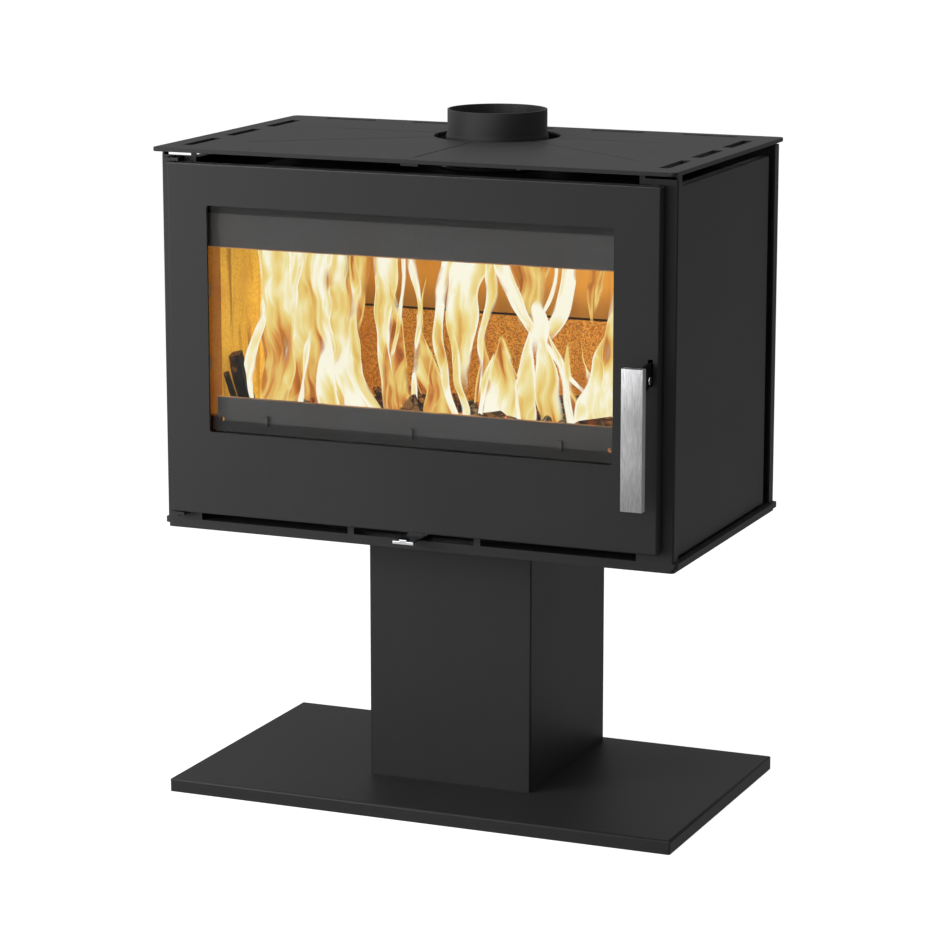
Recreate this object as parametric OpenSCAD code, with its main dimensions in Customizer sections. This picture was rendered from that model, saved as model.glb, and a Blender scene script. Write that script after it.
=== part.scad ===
/* [Floor base] */
// Width of the floor plate
base_w = 803; // [600:1:1000]
// Depth of the floor plate
base_d = 465; // [400:1:600]
// Height of the folded floor plate
base_h = 21; // [14:0.5:30]
// Sheet thickness of the floor plate
base_sheet = 3; // [2:0.5:4]
// Outer radius of the floor plate's bends
base_bend = 4; // [2:0.5:6]

/* [Column] */
// Width of the column
column_w = 262; // [200:1:320]
// Depth of the column
column_d = 306; // [240:1:330]
// Height of the column
column_h = 390.5; // [200:0.5:600]
// Distance from the casing's rear face forward to the column
column_inset = 13.5; // [5:0.5:60]
// Sheet thickness of the column
column_sheet = 3; // [2:0.5:4]
// Thickness of the column's foot and head plates
column_plate_t = 6; // [4:0.5:8]
// Diameter of the hose hole in the column's rear cover
hose_hole_d = 116; // [80:1:140]
// Height of the hose hole above the floor plate
hose_hole_lift = 100; // [85:1:120]

/* [Casing] */
// Width of the casing
casing_w = 800; // [740:1:900]
// Depth of the casing
casing_d = 452; // [430:1:520]
// Height of the front frame above the bottom plate
frame_h = 543; // [480:0.5:620]
// Sheet thickness of the casing
casing_sheet = 3; // [2:0.5:3.5]
// Outer radius of the casing's bends
casing_bend = 3; // [1:0.5:4]
// Depth of the front frame's side returns
front_return = 17; // [10:0.5:24]
// Depth of the rear panel's side returns
rear_return = 20; // [12:0.5:30]
// Gap between the rear panel's top edge and the top plate
rear_top_gap = 3.5; // [1:0.5:8]
// Thickness of the tray under the bottom plate
tray_t = 6; // [3:0.5:10]
// Thickness of the bottom plate
bottom_t = 8; // [5:0.5:12]
// Overhang of the bottom plate at the sides and rear
bottom_lip = 5; // [1:0.5:10]
// Corner radius of the tray and the bottom plate
bottom_corner_r = 6; // [2:0.5:10]

/* [Side panels] */
// Step from the casing's side to the side panel's face
panel_inset = 4; // [1:0.5:8]
// Sheet thickness of the side panels
panel_sheet = 2; // [1:0.5:3]
// Depth of the side panels' folded edges
panel_fold = 14; // [8:0.5:20]
// Gap between the front frame's return and the side panel
panel_front_gap = 3; // [1:0.5:8]
// Gap between the side panel and the rear panel's return
panel_rear_gap = 18; // [2:0.5:30]
// Gap under the side panel
panel_lift = 4; // [2:0.5:8]
// Distance from the frame's top edge down to the side panel
panel_drop = 11; // [4:0.5:20]

/* [Convection slots] */
// Distance from the casing's side to the ends of the front frame's slots
front_slot_side = 56.5; // [55:0.5:90]
// Height of the bottom slot
bottom_slot_h = 20.5; // [17:0.5:21.5]
// Height of the top slot
top_slot_h = 18.5; // [10:0.5:24]
// Width of the posts across the bottom slot
slot_post_w = 10; // [6:0.5:16]
// Distance of those posts from the middle
slot_post_x = 100; // [95:1:120]
// Width of the tabs that carry the top plate
support_tab_w = 8; // [5:0.5:12]

/* [Top plate] */
// Thickness of the top plate
top_t = 6; // [4:0.5:8]
// Air gap between the front frame and the top plate
top_gap = 6.5; // [5:0.5:12]
// Overhang of the top plate at the sides
top_side_over = 5; // [1:0.5:10]
// Overhang of the top plate at the front
top_front_over = 22.5; // [10:0.5:30]
// Overhang of the top plate at the rear
top_rear_over = 8; // [0:0.5:20]
// Corner radius of the top plate
top_corner_r = 9; // [2:0.5:15]
// Width of the side slots in the top plate
side_slot_w = 15; // [8:0.5:18]
// Length of the side slots
side_slot_l = 97; // [60:1:110]
// Pitch of the side slots
side_slot_pitch = 136; // [125:1:140]
// Number of slots along each side
side_slots = 3; // [1:1:3]
// Distance of the side slots from the plate's side edge
side_slot_inset = 35; // [20:1:40]
// Width of the rear slots in the top plate
rear_slot_w = 10; // [6:0.5:12]
// Length of the rear slots
rear_slot_l = 84; // [60:1:110]
// Pitch of the rear slots
rear_slot_pitch = 148; // [125:1:150]
// Number of slots along the rear
rear_slots = 5; // [1:1:5]
// Distance of the rear slots from the plate's rear edge
rear_slot_inset = 24; // [16:1:28]
// Width of the fine expansion cuts
cut_w = 1.8; // [0.8:0.1:2.4]
// Length of the straight expansion cuts beside the flue hole
side_cut_l = 170; // [80:1:220]
// Length of the slanting expansion cuts
slant_cut_l = 285; // [100:1:300]
// Slope of the slanting expansion cuts
slant_cut_angle = 36; // [25:1:50]
// Distance from the front cut's end to the casing's front
front_cut_end = 4; // [0:1:40]
// Diameter of the flue hole
flue_hole_d = 190; // [184:1:200]

/* [Flue] */
// Outer diameter of the flue spigot
flue_d = 150; // [120:1:160]
// Wall of the flue spigot
flue_wall = 3.5; // [2:0.5:5]
// Extra radius at the spigot's root
flue_flare = 2; // [0.5:0.5:4]
// Length of the straight part of the spigot
flue_straight = 34; // [20:1:60]
// Height of the spigot above the top plate
flue_rise = 40; // [40:1:80]
// Distance from the casing's rear face forward to the flue's axis
flue_inset = 134.5; // [132:0.5:160]
// Width of the spigot's flange
flue_flange = 14; // [12:0.5:16]

/* [Firebox] */
// Width of the front frame beside the firebox mouth
mouth_side = 70; // [68:0.5:75]
// Height of the front frame above the firebox mouth
mouth_drop = 53.5; // [50:0.5:60]
// Height of the mouth above the bottom plate
mouth_lift = 36.5; // [34:0.5:38]
// Air gap between the firebox and the rear panel
rear_gap = 24; // [15:0.5:50]
// Steel thickness of the firebox
box_steel = 4; // [3:0.5:5]
// Distance from the mouth's top edge to the roof
roof_rise = 15; // [12:0.5:22]
// Thickness of the lining boards
lining_t = 25; // [20:0.5:26]
// Distance from the mouth's top edge down to the top of the linings
baffle_drop = 45; // [42:0.5:60]
// Height of the lower rear board
rear_board_h = 141; // [100:1:200]
// Width of the joint between the rear boards
board_joint = 2; // [1:0.5:4]
// Thickness of the floor bricks
brick_t = 25; // [20:1:28]
// Height of the ash space
ash_h = 64; // [60:1:70]
// Thickness of the baffle board
baffle_t = 25; // [15:1:28]
// Distance from the front frame to the baffle board
baffle_front = 133; // [110:1:220]

/* [Grate and ash pan] */
// Width of the grate
grate_w = 240; // [160:1:300]
// Depth of the grate
grate_d = 170; // [120:1:200]
// Thickness of the grate
grate_t = 14; // [10:1:18]
// Width of the slots between the grate bars
grate_slot_w = 9; // [6:0.5:12]
// Width of the grate bars
grate_bar_w = 10; // [8:0.5:14]
// Width of the rim round the grate
grate_rim = 15; // [10:1:20]
// Width of the ash pan
pan_w = 300; // [200:1:400]
// Depth of the ash pan
pan_d = 300; // [200:1:340]
// Height of the ash pan
pan_h = 50; // [30:1:55]
// Sheet thickness of the ash pan
pan_sheet = 2; // [1:0.5:3]

/* [Combustion air] */
// Outer diameter of the air spigot
air_d = 100; // [80:1:110]
// Wall of the air spigot
air_wall = 2; // [1:0.5:3]
// Length of the air spigot below the column's head plate
air_spigot_l = 45; // [30:1:80]
// Inner width of the air duct
duct_w = 150; // [130:1:160]
// Distance of the duct's front from the casing's front
duct_front = 36; // [30:1:45]
// Width of the air slide's stem
stem_w = 30; // [20:1:34]
// Thickness of the air slide
slide_t = 3; // [2:0.5:4]
// Travel of the air slide to each side
slide_travel = 60; // [20:1:64]
// Width of the air knob
knob_w = 33; // [24:1:40]
// Height of the air knob
knob_h = 4.5; // [3:0.5:6]
// Depth of the air knob
knob_d = 6; // [4:0.5:10]
// Distance from the casing's front to the knob's front
knob_reach = 38; // [30:1:45]

/* [Door] */
// Distance from the casing's side to the door
door_side = 18.5; // [16:0.5:22]
// Distance from the frame's top edge down to the door
door_drop = 8; // [6:0.5:14]
// Gap between the bottom plate and the door
door_lift = 15; // [14:0.5:16]
// Depth of the folded door
door_depth = 16; // [14:0.5:18]
// Gap between the door's back and the front frame
door_gap = 4; // [3:0.5:6]
// Sheet thickness of the door's skin
door_sheet = 2; // [1.5:0.5:2.5]
// Outer radius of the door's bends
door_bend = 2.5; // [1:0.5:4]
// Steel thickness of the door's inner frame
inner_sheet = 3; // [2:0.5:3.5]
// Width of the rope gasket
gasket_w = 12; // [8:0.5:12.5]
// Distance from the mouth's top and bottom edges to the rope gasket
gasket_edge = 2; // [1:0.5:2.5]
// Distance from the mouth's side edges to the rope gasket
gasket_side = 8; // [7:0.5:10]

/* [Window] */
// Width of the door beside the window
window_side = 65.5; // [63:0.5:80]
// Height of the door above the window
window_drop = 61; // [58:0.5:80]
// Sideways shift of the window's middle
window_shift = -2; // [-8:0.5:8]
// Height of the window above the door's bottom edge
window_lift = 124; // [118:1:140]
// Corner radius of the window
window_r = 4; // [2:0.5:10]
// Thickness of the glass
glass_t = 4; // [3:0.5:5]
// How far the glass reaches behind the skin
glass_lap = 8; // [6:0.5:10]
// Thickness of the flat gasket in front of the glass
tape_t = 4; // [2:0.5:5]
// Distance from the window's side to the log guard
guard_side = 4.5; // [2:0.5:30]
// How far the log guard stands above the window's lower edge
guard_rise = 52.5; // [40:0.5:70]
// How far the air wash plate hangs below the window's upper edge
wash_drop = 63; // [40:0.5:80]
// Thickness of the log guard and the air wash plate
guard_t = 2; // [1:0.5:2.5]
// Diameter of the holes in the log guard
guard_hole_d = 7; // [4:0.5:10]

/* [Hinges] */
// Diameter of the hinge pins
pin_d = 6; // [5:0.5:7]
// Distance of the hinge axis from the door's side
hinge_x = 7; // [6.5:0.5:9]
// Distance of the hinge axis from the door's back
hinge_y = 6.5; // [6:0.5:8]
// Thickness of the hinge brackets
bracket_t = 4.5; // [3:0.5:5]
// Length of the hinge bushes in the door
bush_l = 14; // [8:1:30]

/* [Handle] */
// Width of the handle bar
bar_w = 32; // [24:0.5:36]
// Length of the handle bar
bar_l = 202; // [120:1:240]
// Thickness of the handle bar
bar_t = 13; // [8:0.5:16]
// Distance from the door's side to the handle bar
bar_side = 7; // [4:0.5:12]
// Distance from the door's front to the bar's front
bar_reach = 44; // [42:0.5:60]
// Height of the bar's top above the pivot
bar_rise = 20; // [16:0.5:26]
// Height of the pivot above the door's bottom edge
pivot_lift = 251.5; // [200:0.5:300]
// Distance from the door's front to the pivot
pivot_reach = 14; // [12:0.5:15]
// Diameter of the pivot pin
pivot_d = 6; // [4:0.5:8]
// Diameter of the pivot pin's head
pivot_head_d = 12; // [9:0.5:14]
// Thickness of the lever
lever_t = 5; // [3:0.5:6]
// Width of the slot in the door for the lever
lever_slot_w = 7.5; // [7:0.5:9]
// Height of that slot
lever_slot_h = 38; // [36:0.5:44]
// Diameter of the strike pin
strike_d = 8; // [6:0.5:9]

/* [Hidden] */

$fn = 48;
// Running clearance of pins, seating clearance of solids and through clearance of screws
run = 0.05;
seat = 0.3;
hole_clear = 0.25;
eps = 1;

// Heights
column_z = base_h;
tray_z = column_z + column_h;
bottom_z = tray_z + tray_t;
deck_z = bottom_z + bottom_t;
frame_top = deck_z + frame_h;
top_z = frame_top + top_gap;
top_face = top_z + top_t;

// Casing faces
side_x = casing_w / 2;
front_y = -casing_d / 2;
rear_y = casing_d / 2;
frame_back = front_y + casing_sheet;
panel_x = side_x - panel_inset;
panel_y0 = front_y + front_return + panel_front_gap;
panel_y1 = rear_y - rear_return - panel_rear_gap;
panel_z0 = deck_z + panel_lift;
panel_z1 = frame_top - panel_drop;

// Column faces
column_x = column_w / 2;
column_y1 = rear_y - column_inset;
column_y0 = column_y1 - column_d;

// Firebox
lining_step = 5;
mouth_x = side_x - mouth_side;
mouth_z0 = deck_z + mouth_lift;
mouth_z1 = frame_top - mouth_drop;
lining_x = mouth_x + lining_step;
lining_face_x = lining_x - lining_t;
box_x = lining_x + box_steel;
box_y1 = rear_y - casing_sheet - rear_gap - box_steel;
lining_y0 = frame_back + lining_step;
lining_face_y = box_y1 - lining_t;
ash_z = mouth_z0;
rail_t = 4;
rail_z = ash_z + ash_h;
brick_z = rail_z + rail_t;
lining_z = brick_z + brick_t;
lining_top = mouth_z1 - baffle_drop;
roof_z = mouth_z1 + roof_rise;
grate_y = -20;
rail_w = 22;

// Air
duct_h = ash_z - box_steel - deck_z;
duct_y0 = front_y + duct_front;
duct_wall = 3;
duct_room = 15;
air_y = (column_y0 + column_y1) / 2;
duct_y1 = air_y + air_d / 2 + duct_room;
stem_lift = 2.5;
stem_z = deck_z + stem_lift;
shutter_w = 180;
shutter_h = 26;
port_w = 40;
port_x = 45;
port_z0 = stem_z + 6;
port_z1 = stem_z + 20;

// Flue
flue_y = rear_y - flue_inset;

// Door
door_x = side_x - door_side;
door_z0 = deck_z + door_lift;
door_z1 = frame_top - door_drop;
door_back = front_y - door_gap;
door_front = door_back - door_depth;
skin_back = door_front + door_sheet;
inner_front = door_back - inner_sheet;
win_x0 = window_shift - door_x + window_side;
win_x1 = window_shift + door_x - window_side;
win_z0 = door_z0 + window_lift;
win_z1 = door_z1 - window_drop;
glass_y0 = skin_back + tape_t;
glass_y1 = glass_y0 + glass_t;
glass_gap = 1;
guard_y1 = door_back + guard_t;
screw_head_h = 1.2;
guard_lap = 9;

// Hinges
axis_x = -door_x + hinge_x;
axis_y = door_back - hinge_y;
bracket_gap = 1.5;
bracket_low_z = door_z0 - bracket_gap - bracket_t;
bracket_high_z = door_z1 + bracket_gap;
pin_head_h = 2;
pin_short = 1;

// Handle and latch
pivot_y = door_front - pivot_reach;
pivot_z = door_z0 + pivot_lift;
bar_x1 = door_x - bar_side;
bar_x0 = bar_x1 - bar_w;
bar_y0 = door_front - bar_reach;
bar_y1 = bar_y0 + bar_t;
bar_z1 = pivot_z + bar_rise;
bar_z0 = bar_z1 - bar_l;
lever_in = 2.5;
lever_x1 = bar_x1 - lever_in;
lever_x0 = lever_x1 - lever_t;
slot_top = pivot_z + 27;
arm_low = pivot_z + 8;
arm_high = pivot_z + 22;
strike_gap = 4.4;
hook_gap = 0.4;
strike_y = frame_back + strike_gap + strike_d / 2;
strike_z = arm_high + seat + strike_d / 2;
hook_y = strike_y + strike_d / 2 + hook_gap;
latch_hole_w = 17;
latch_hole_h = 68;

// Colours
coat = "#3a3a3b";
coat_dark = "#262627";
bare_steel = "#8f9092";
stainless = "#b9babc";
vermiculite = "#c99a55";
cast = "#2b2b2d";
rope = "#b9b4a6";
glass_tint = [0.25, 0.26, 0.27, 0.35];

// A block from its lowest to its highest corner
module block(low, high) {
    translate(low) cube([high[0] - low[0], high[1] - low[1], high[2] - low[2]]);
}

// A flat outline with round corners, from corner to corner
module round_rect(low, high, r) {
    translate([low[0] + r, low[1]]) square([high[0] - low[0] - 2 * r, high[1] - low[1]]);
    translate([low[0], low[1] + r]) square([high[0] - low[0], high[1] - low[1] - 2 * r]);
    for (x = [low[0] + r, high[0] - r], y = [low[1] + r, high[1] - r]) translate([x, y]) circle(r);
}

// A flat outline whose two upper corners are round
module round_top(x0, x1, z0, z1, r) {
    translate([x0, z0]) square([x1 - x0, z1 - z0 - r]);
    translate([x0 + r, z0]) square([x1 - x0 - 2 * r, z1 - z0]);
    for (x = [x0 + r, x1 - r]) translate([x, z1 - r]) circle(r);
}

// A plate lying flat, with round corners
module flat_plate(low, high, r) {
    translate([0, 0, low[2]])
        linear_extrude(high[2] - low[2]) round_rect([low[0], low[1]], [high[0], high[1]], r);
}

// An outline in X and Z, extruded along Y
module along_y(y0, y1) {
    translate([0, y1, 0]) rotate([90, 0, 0]) linear_extrude(y1 - y0) children();
}

// An outline in Y and Z, extruded along X
module along_x(x0, x1) {
    translate([x0, 0, 0]) rotate([90, 0, 90]) linear_extrude(x1 - x0) children();
}

// A rod along X
module rod_x(x0, x1, y, z, d) {
    translate([x0, y, z]) rotate([0, 90, 0]) cylinder(h = x1 - x0, d = d);
}

// A rod along Y
module rod_y(x, y0, y1, z, d) {
    translate([x, y0, z]) rotate([-90, 0, 0]) cylinder(h = y1 - y0, d = d);
}

// A rod along Z
module rod_z(x, y, z0, z1, d) {
    translate([x, y, z0]) cylinder(h = z1 - z0, d = d);
}

// ---------- Floor base ----------

// The folded tray's outline: round along the top edges
module tray_shape(w, d, h, r) {
    intersection() {
        along_x(-w / 2, w / 2) round_top(-d / 2, d / 2, 0, h, r);
        along_y(-d / 2, d / 2) round_top(-w / 2, w / 2, 0, h, r);
    }
}

// Places of the bolts near the column's four corners
bolt_inset = 31;
bolt_spots = [
    for (x = [-1, 1], y = [column_y0 + bolt_inset, column_y1 - bolt_inset])
        [x * (column_x - bolt_inset), y]
];
bolt_d = 8;
bolt_head_d = 14;
bolt_head_h = 5.3;
bolt_tip = 3;

module bolt_holes(z0, z1) {
    for (p = bolt_spots) rod_z(p[0], p[1], z0, z1, bolt_d + 2 * hole_clear);
}

module base_plate() {
    inner_r = max(0.5, base_bend - base_sheet);
    slit = 1.4;
    color(coat) difference() {
        tray_shape(base_w, base_d, base_h, base_bend);
        translate([0, 0, -eps])
            tray_shape(base_w - 2 * base_sheet, base_d - 2 * base_sheet, base_h - base_sheet + eps, inner_r);
        for (x = [-1, 1], y = [-1, 1])
            translate([x * base_w / 2, y * base_d / 2, (base_h - base_bend) / 2 - eps])
                cube([slit * 2, slit * 2, base_h - base_bend + 2 * eps], center = true);
        bolt_holes(base_h - base_sheet - eps, base_h + eps);
    }
}

module base_bottom() {
    x = base_w / 2 - base_sheet;
    y = base_d / 2 - base_sheet;
    color(coat_dark) block([-x, -y, 0], [x, y, base_sheet]);
}

// ---------- Column ----------

// An outline with round corners at its low Y side
module round_front(x0, x1, y0, y1, r) {
    translate([x0, y0 + r]) square([x1 - x0, y1 - y0 - r]);
    translate([x0 + r, y0]) square([x1 - x0 - 2 * r, r + 0.1]);
    for (x = [x0 + r, x1 - r]) translate([x, y0 + r]) circle(r);
}

column_lip = 18;
column_bend = 3;
cover_y = column_y1 - column_sheet;
cover_screw_d = 4;
cover_screw_end = 30;
cover_head_h = 2;
cover_screw_spots = [
    for (x = [-1, 1], z = [column_z + cover_screw_end, column_z + column_h / 2, tray_z - cover_screw_end])
        [x * (column_x - column_sheet - column_lip / 2), z]
];

module cover_screw_holes() {
    for (p = cover_screw_spots)
        rod_y(p[0], cover_y - column_sheet - eps, column_y1 + eps, p[1], cover_screw_d + 2 * hole_clear);
}

module column_shell() {
    s = column_sheet;
    color(coat) difference() {
        translate([0, 0, column_z]) linear_extrude(column_h) {
            difference() {
                round_front(-column_x, column_x, column_y0, column_y1, column_bend);
                translate([-column_x + s, column_y0 + s])
                    square([column_w - 2 * s, column_d]);
            }
            for (x = [-column_x + s / 2, column_x - s - column_lip])
                translate([x, cover_y - s]) square([column_lip + s / 2, s]);
        }
        cover_screw_holes();
    }
}

module column_rear_cover() {
    x = column_x - column_sheet;
    color(coat) difference() {
        block([-x, cover_y, column_z], [x, column_y1, tray_z]);
        cover_screw_holes();
        rod_y(0, cover_y - eps, column_y1 + eps, column_z + hose_hole_lift, hose_hole_d);
    }
}

module column_cover_screws() {
    color(bare_steel) for (p = cover_screw_spots) {
        rod_y(p[0], cover_y - column_sheet, column_y1, p[1], cover_screw_d);
        rod_y(p[0], column_y1, column_y1 + cover_head_h, p[1], cover_screw_d * 2);
    }
}

// A plate across the inside of the column
module column_plate(z) {
    x = column_x - column_sheet;
    block([-x, column_y0 + column_sheet, z], [x, cover_y - column_sheet, z + column_plate_t]);
}

module column_foot() {
    color(coat_dark) difference() {
        column_plate(column_z);
        bolt_holes(column_z - eps, column_z + column_plate_t + eps);
    }
}

module column_foot_bolts() {
    head_z = column_z + column_plate_t;
    color(bare_steel) for (p = bolt_spots) {
        rod_z(p[0], p[1], column_z - base_sheet - bolt_tip, head_z, bolt_d);
        translate([p[0], p[1], head_z]) cylinder(h = bolt_head_h, d = bolt_head_d, $fn = 6);
    }
}

module column_head() {
    head_z = tray_z - column_plate_t;
    color(coat_dark) difference() {
        column_plate(head_z);
        bolt_holes(head_z - eps, tray_z + eps);
        rod_z(0, air_y, head_z - eps, tray_z + eps, air_d + 2 * hole_clear);
    }
}

module column_head_bolts() {
    color(bare_steel) for (p = bolt_spots) {
        rod_z(p[0], p[1], tray_z - column_plate_t - bolt_tip, deck_z, bolt_d);
        translate([p[0], p[1], deck_z]) cylinder(h = bolt_head_h, d = bolt_head_d, $fn = 6);
    }
}

// ---------- Casing ----------

module lower_tray() {
    color(coat) difference() {
        flat_plate([-side_x, front_y, tray_z], [side_x, rear_y + bottom_lip, bottom_z], bottom_corner_r);
        bolt_holes(tray_z - eps, bottom_z + eps);
        rod_z(0, air_y, tray_z - eps, bottom_z + eps, air_d + 2 * hole_clear);
    }
}

module bottom_plate() {
    x = side_x + bottom_lip;
    color(coat) difference() {
        flat_plate([-x, front_y, bottom_z], [x, rear_y + bottom_lip, deck_z], bottom_corner_r);
        bolt_holes(bottom_z - eps, deck_z + eps);
        rod_z(0, air_y, bottom_z - eps, deck_z + eps, air_d + 2 * hole_clear);
    }
}

// A sheet across the front with a return along each side, extruded upwards
module folded_front(depth, z0, z1) {
    s = casing_sheet;
    translate([0, 0, z0]) linear_extrude(z1 - z0) difference() {
        round_front(-side_x, side_x, front_y, front_y + depth, casing_bend);
        translate([-side_x + s, frame_back]) square([casing_w - 2 * s, depth]);
    }
}

module front_frame() {
    slot_x = side_x - front_slot_side;
    post = slot_post_w / 2;
    latch_x = (lever_x0 + lever_x1) / 2;
    color(coat) difference() {
        union() {
            folded_front(front_return, deck_z, frame_top);
            // The tabs and the tops of the returns carry the top plate
            for (s = [-1, 1]) {
                block([min(s * slot_x, s * (slot_x + support_tab_w)), front_y, frame_top - eps],
                      [max(s * slot_x, s * (slot_x + support_tab_w)), frame_back, top_z]);
                block([min(s * side_x, s * (side_x - casing_sheet)), front_y + casing_bend, frame_top - eps],
                      [max(s * side_x, s * (side_x - casing_sheet)), front_y + front_return, top_z]);
            }
        }
        block([-mouth_x, front_y - eps, mouth_z0], [mouth_x, frame_back + eps, mouth_z1]);
        block([-slot_x, front_y - eps, frame_top - top_slot_h], [slot_x, frame_back + eps, frame_top + eps]);
        for (edges = [[-slot_x, -slot_post_x - post], [-slot_post_x + post, slot_post_x - post],
                      [slot_post_x + post, slot_x]])
            block([edges[0], front_y - eps, deck_z - eps],
                  [edges[1], frame_back + eps, deck_z + bottom_slot_h]);
        block([latch_x - latch_hole_w / 2, front_y - eps, pivot_z - latch_hole_h / 2],
              [latch_x + latch_hole_w / 2, frame_back + eps, pivot_z + latch_hole_h / 2]);
    }
}

// Screws that hold the rear panel on studs of the firebox
stud_d = 6;
stud_low = 110;
stud_high = 60;
stud_in = 40;
stud_head_h = 3;
stud_spots = [for (x = [-1, 1], z = [deck_z + stud_low, roof_z - stud_high]) [x * (box_x - stud_in), z]];

module rear_panel() {
    panel_top = top_z - rear_top_gap;
    vent_l = 90;
    vent_h = 10;
    vent_pitch = 130;
    vent_edge = 30;
    vent_step = 25;
    high_edge = 45;
    high_vent = panel_top - high_edge - vent_h;
    low_vents = [deck_z + vent_edge, deck_z + vent_edge + vent_step];
    high_vents = [high_vent, high_vent - vent_step];
    lug_w = 30;
    lug_x = 240;
    color(coat) difference() {
        union() {
            rotate([0, 0, 180]) folded_front(rear_return, deck_z, panel_top);
            for (x = [-lug_x, lug_x])
                block([x - lug_w / 2, rear_y - casing_sheet, panel_top - eps],
                      [x + lug_w / 2, rear_y, top_z]);
        }
        for (i = [-2:2], z = concat(low_vents, high_vents))
            block([i * vent_pitch - vent_l / 2, rear_y - casing_sheet - eps, z],
                  [i * vent_pitch + vent_l / 2, rear_y + eps, z + vent_h]);
        for (p = stud_spots)
            rod_y(p[0], rear_y - casing_sheet - eps, rear_y + eps, p[1], stud_d + 2 * hole_clear);
    }
}

module rear_panel_screws() {
    color(bare_steel) for (p = stud_spots) {
        rod_y(p[0], box_y1 + box_steel, rear_y, p[1], stud_d);
        rod_y(p[0], rear_y, rear_y + stud_head_h, p[1], stud_d * 2);
    }
}

// The right side panel: a sheet folded inwards at its top and bottom
module side_panel() {
    x0 = panel_x - panel_fold;
    s = panel_sheet;
    along_y(panel_y0, panel_y1) difference() {
        union() {
            translate([x0, panel_z0]) square([panel_fold - s, panel_z1 - panel_z0]);
            translate([panel_x - s - 0.1, panel_z0 + s]) square([s + 0.1, panel_z1 - panel_z0 - 2 * s]);
            for (z = [panel_z0 + s, panel_z1 - s]) translate([panel_x - s, z]) circle(s);
        }
        translate([x0 - eps, panel_z0 + s]) square([panel_fold - s + eps, panel_z1 - panel_z0 - 2 * s]);
    }
}

module side_panel_left() { color(coat) mirror([1, 0, 0]) side_panel(); }

module side_panel_right() { color(coat) side_panel(); }

module panel_spacers() {
    spacer_l = 30;
    spacer_in = 40;
    color(coat_dark) for (s = [-1, 1], y = [panel_y0 + spacer_in, panel_y1 - spacer_in - spacer_l])
        block([min(s * (panel_x - panel_fold), s * (panel_x - panel_sheet)), y, deck_z],
              [max(s * (panel_x - panel_fold), s * (panel_x - panel_sheet)), y + spacer_l, panel_z0]);
}

// ---------- Top plate ----------

top_x = side_x + top_side_over;
top_y0 = front_y - top_front_over;
top_y1 = rear_y + top_rear_over;

// One fine cut running outwards from the flue hole
module expansion_cut(angle, length) {
    translate([0, flue_y, 0]) rotate([0, 0, angle])
        block([flue_hole_d / 2 - 2 * eps, -cut_w / 2, top_z - eps],
              [flue_hole_d / 2 + length, cut_w / 2, top_face + eps]);
}

module top_plate() {
    lug_w = 28;
    lug_d = 6;
    lug_h = 5;
    lug_y = front_y - 10;
    side_slot_ahead = 10;
    side_mid = (top_y0 + top_y1) / 2 - side_slot_ahead;
    color(coat) difference() {
        union() {
            flat_plate([-top_x, top_y0, top_z], [top_x, top_y1, top_face], top_corner_r);
            block([-lug_w / 2, lug_y, top_z - lug_h], [lug_w / 2, lug_y + lug_d, top_z + eps]);
        }
        for (s = [-1, 1], i = [0:side_slots - 1])
            translate([s * (top_x - side_slot_inset),
                       side_mid + (i - (side_slots - 1) / 2) * side_slot_pitch, top_z])
                cube([side_slot_w, side_slot_l, 3 * top_t], center = true);
        for (i = [0:rear_slots - 1])
            translate([(i - (rear_slots - 1) / 2) * rear_slot_pitch, top_y1 - rear_slot_inset, top_z])
                cube([rear_slot_l, rear_slot_w, 3 * top_t], center = true);
        rod_z(0, flue_y, top_z - eps, top_face + eps, flue_hole_d);
        expansion_cut(0, side_cut_l);
        expansion_cut(180, side_cut_l);
        expansion_cut(-slant_cut_angle, slant_cut_l);
        expansion_cut(180 + slant_cut_angle, slant_cut_l);
        expansion_cut(270, flue_y - front_y - front_cut_end - flue_hole_d / 2);
    }
}

// ---------- Firebox ----------

module firebox_side() {
    block([lining_x, frame_back, ash_z - box_steel], [box_x, box_y1, roof_z]);
}

module firebox_left() { color(coat_dark) mirror([1, 0, 0]) firebox_side(); }

module firebox_right() { color(coat_dark) firebox_side(); }

module firebox_rear() {
    color(coat_dark) block([-box_x, box_y1, ash_z - box_steel], [box_x, box_y1 + box_steel, roof_z]);
}

flue_bolt_spots = [
    for (a = [45:90:315]) [cos(a), sin(a)] * (flue_d / 2 + flue_flare + flue_flange / 2)
];
flue_bolt_d = 5;
flue_bolt_tip = 4;
flue_bolt_head_h = 4;
flue_flange_t = 4;
flue_inner_d = flue_d - 2 * flue_wall;

module flue_bolt_holes(z0, z1) {
    for (p = flue_bolt_spots)
        rod_z(p[0], flue_y + p[1], z0, z1, flue_bolt_d + 2 * hole_clear);
}

module firebox_roof() {
    color(coat_dark) difference() {
        block([-box_x, frame_back, roof_z], [box_x, box_y1 + box_steel, roof_z + box_steel]);
        rod_z(0, flue_y, roof_z - eps, roof_z + box_steel + eps, flue_inner_d);
        flue_bolt_holes(roof_z - eps, roof_z + box_steel + eps);
    }
}

module ash_floor() {
    hole_d = 22;
    hole_pitch = 45;
    hole_back = 50;
    color(coat_dark) difference() {
        block([-lining_x, frame_back, ash_z - box_steel], [lining_x, box_y1, ash_z]);
        // Air rises from the duct behind the ash pan
        for (i = [-1:1])
            rod_z(i * hole_pitch, air_y + hole_back, ash_z - box_steel - eps, ash_z + eps, hole_d);
    }
}

module brick_rails() {
    grate_edges = [for (s = [-1, 1]) grate_y + s * grate_d / 2 - rail_w / 2];
    starts = concat([lining_y0], grate_edges, [box_y1 - rail_w]);
    color(coat_dark) for (y = starts)
        block([-lining_x, y, rail_z], [lining_x, y + rail_w, brick_z]);
}

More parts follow.
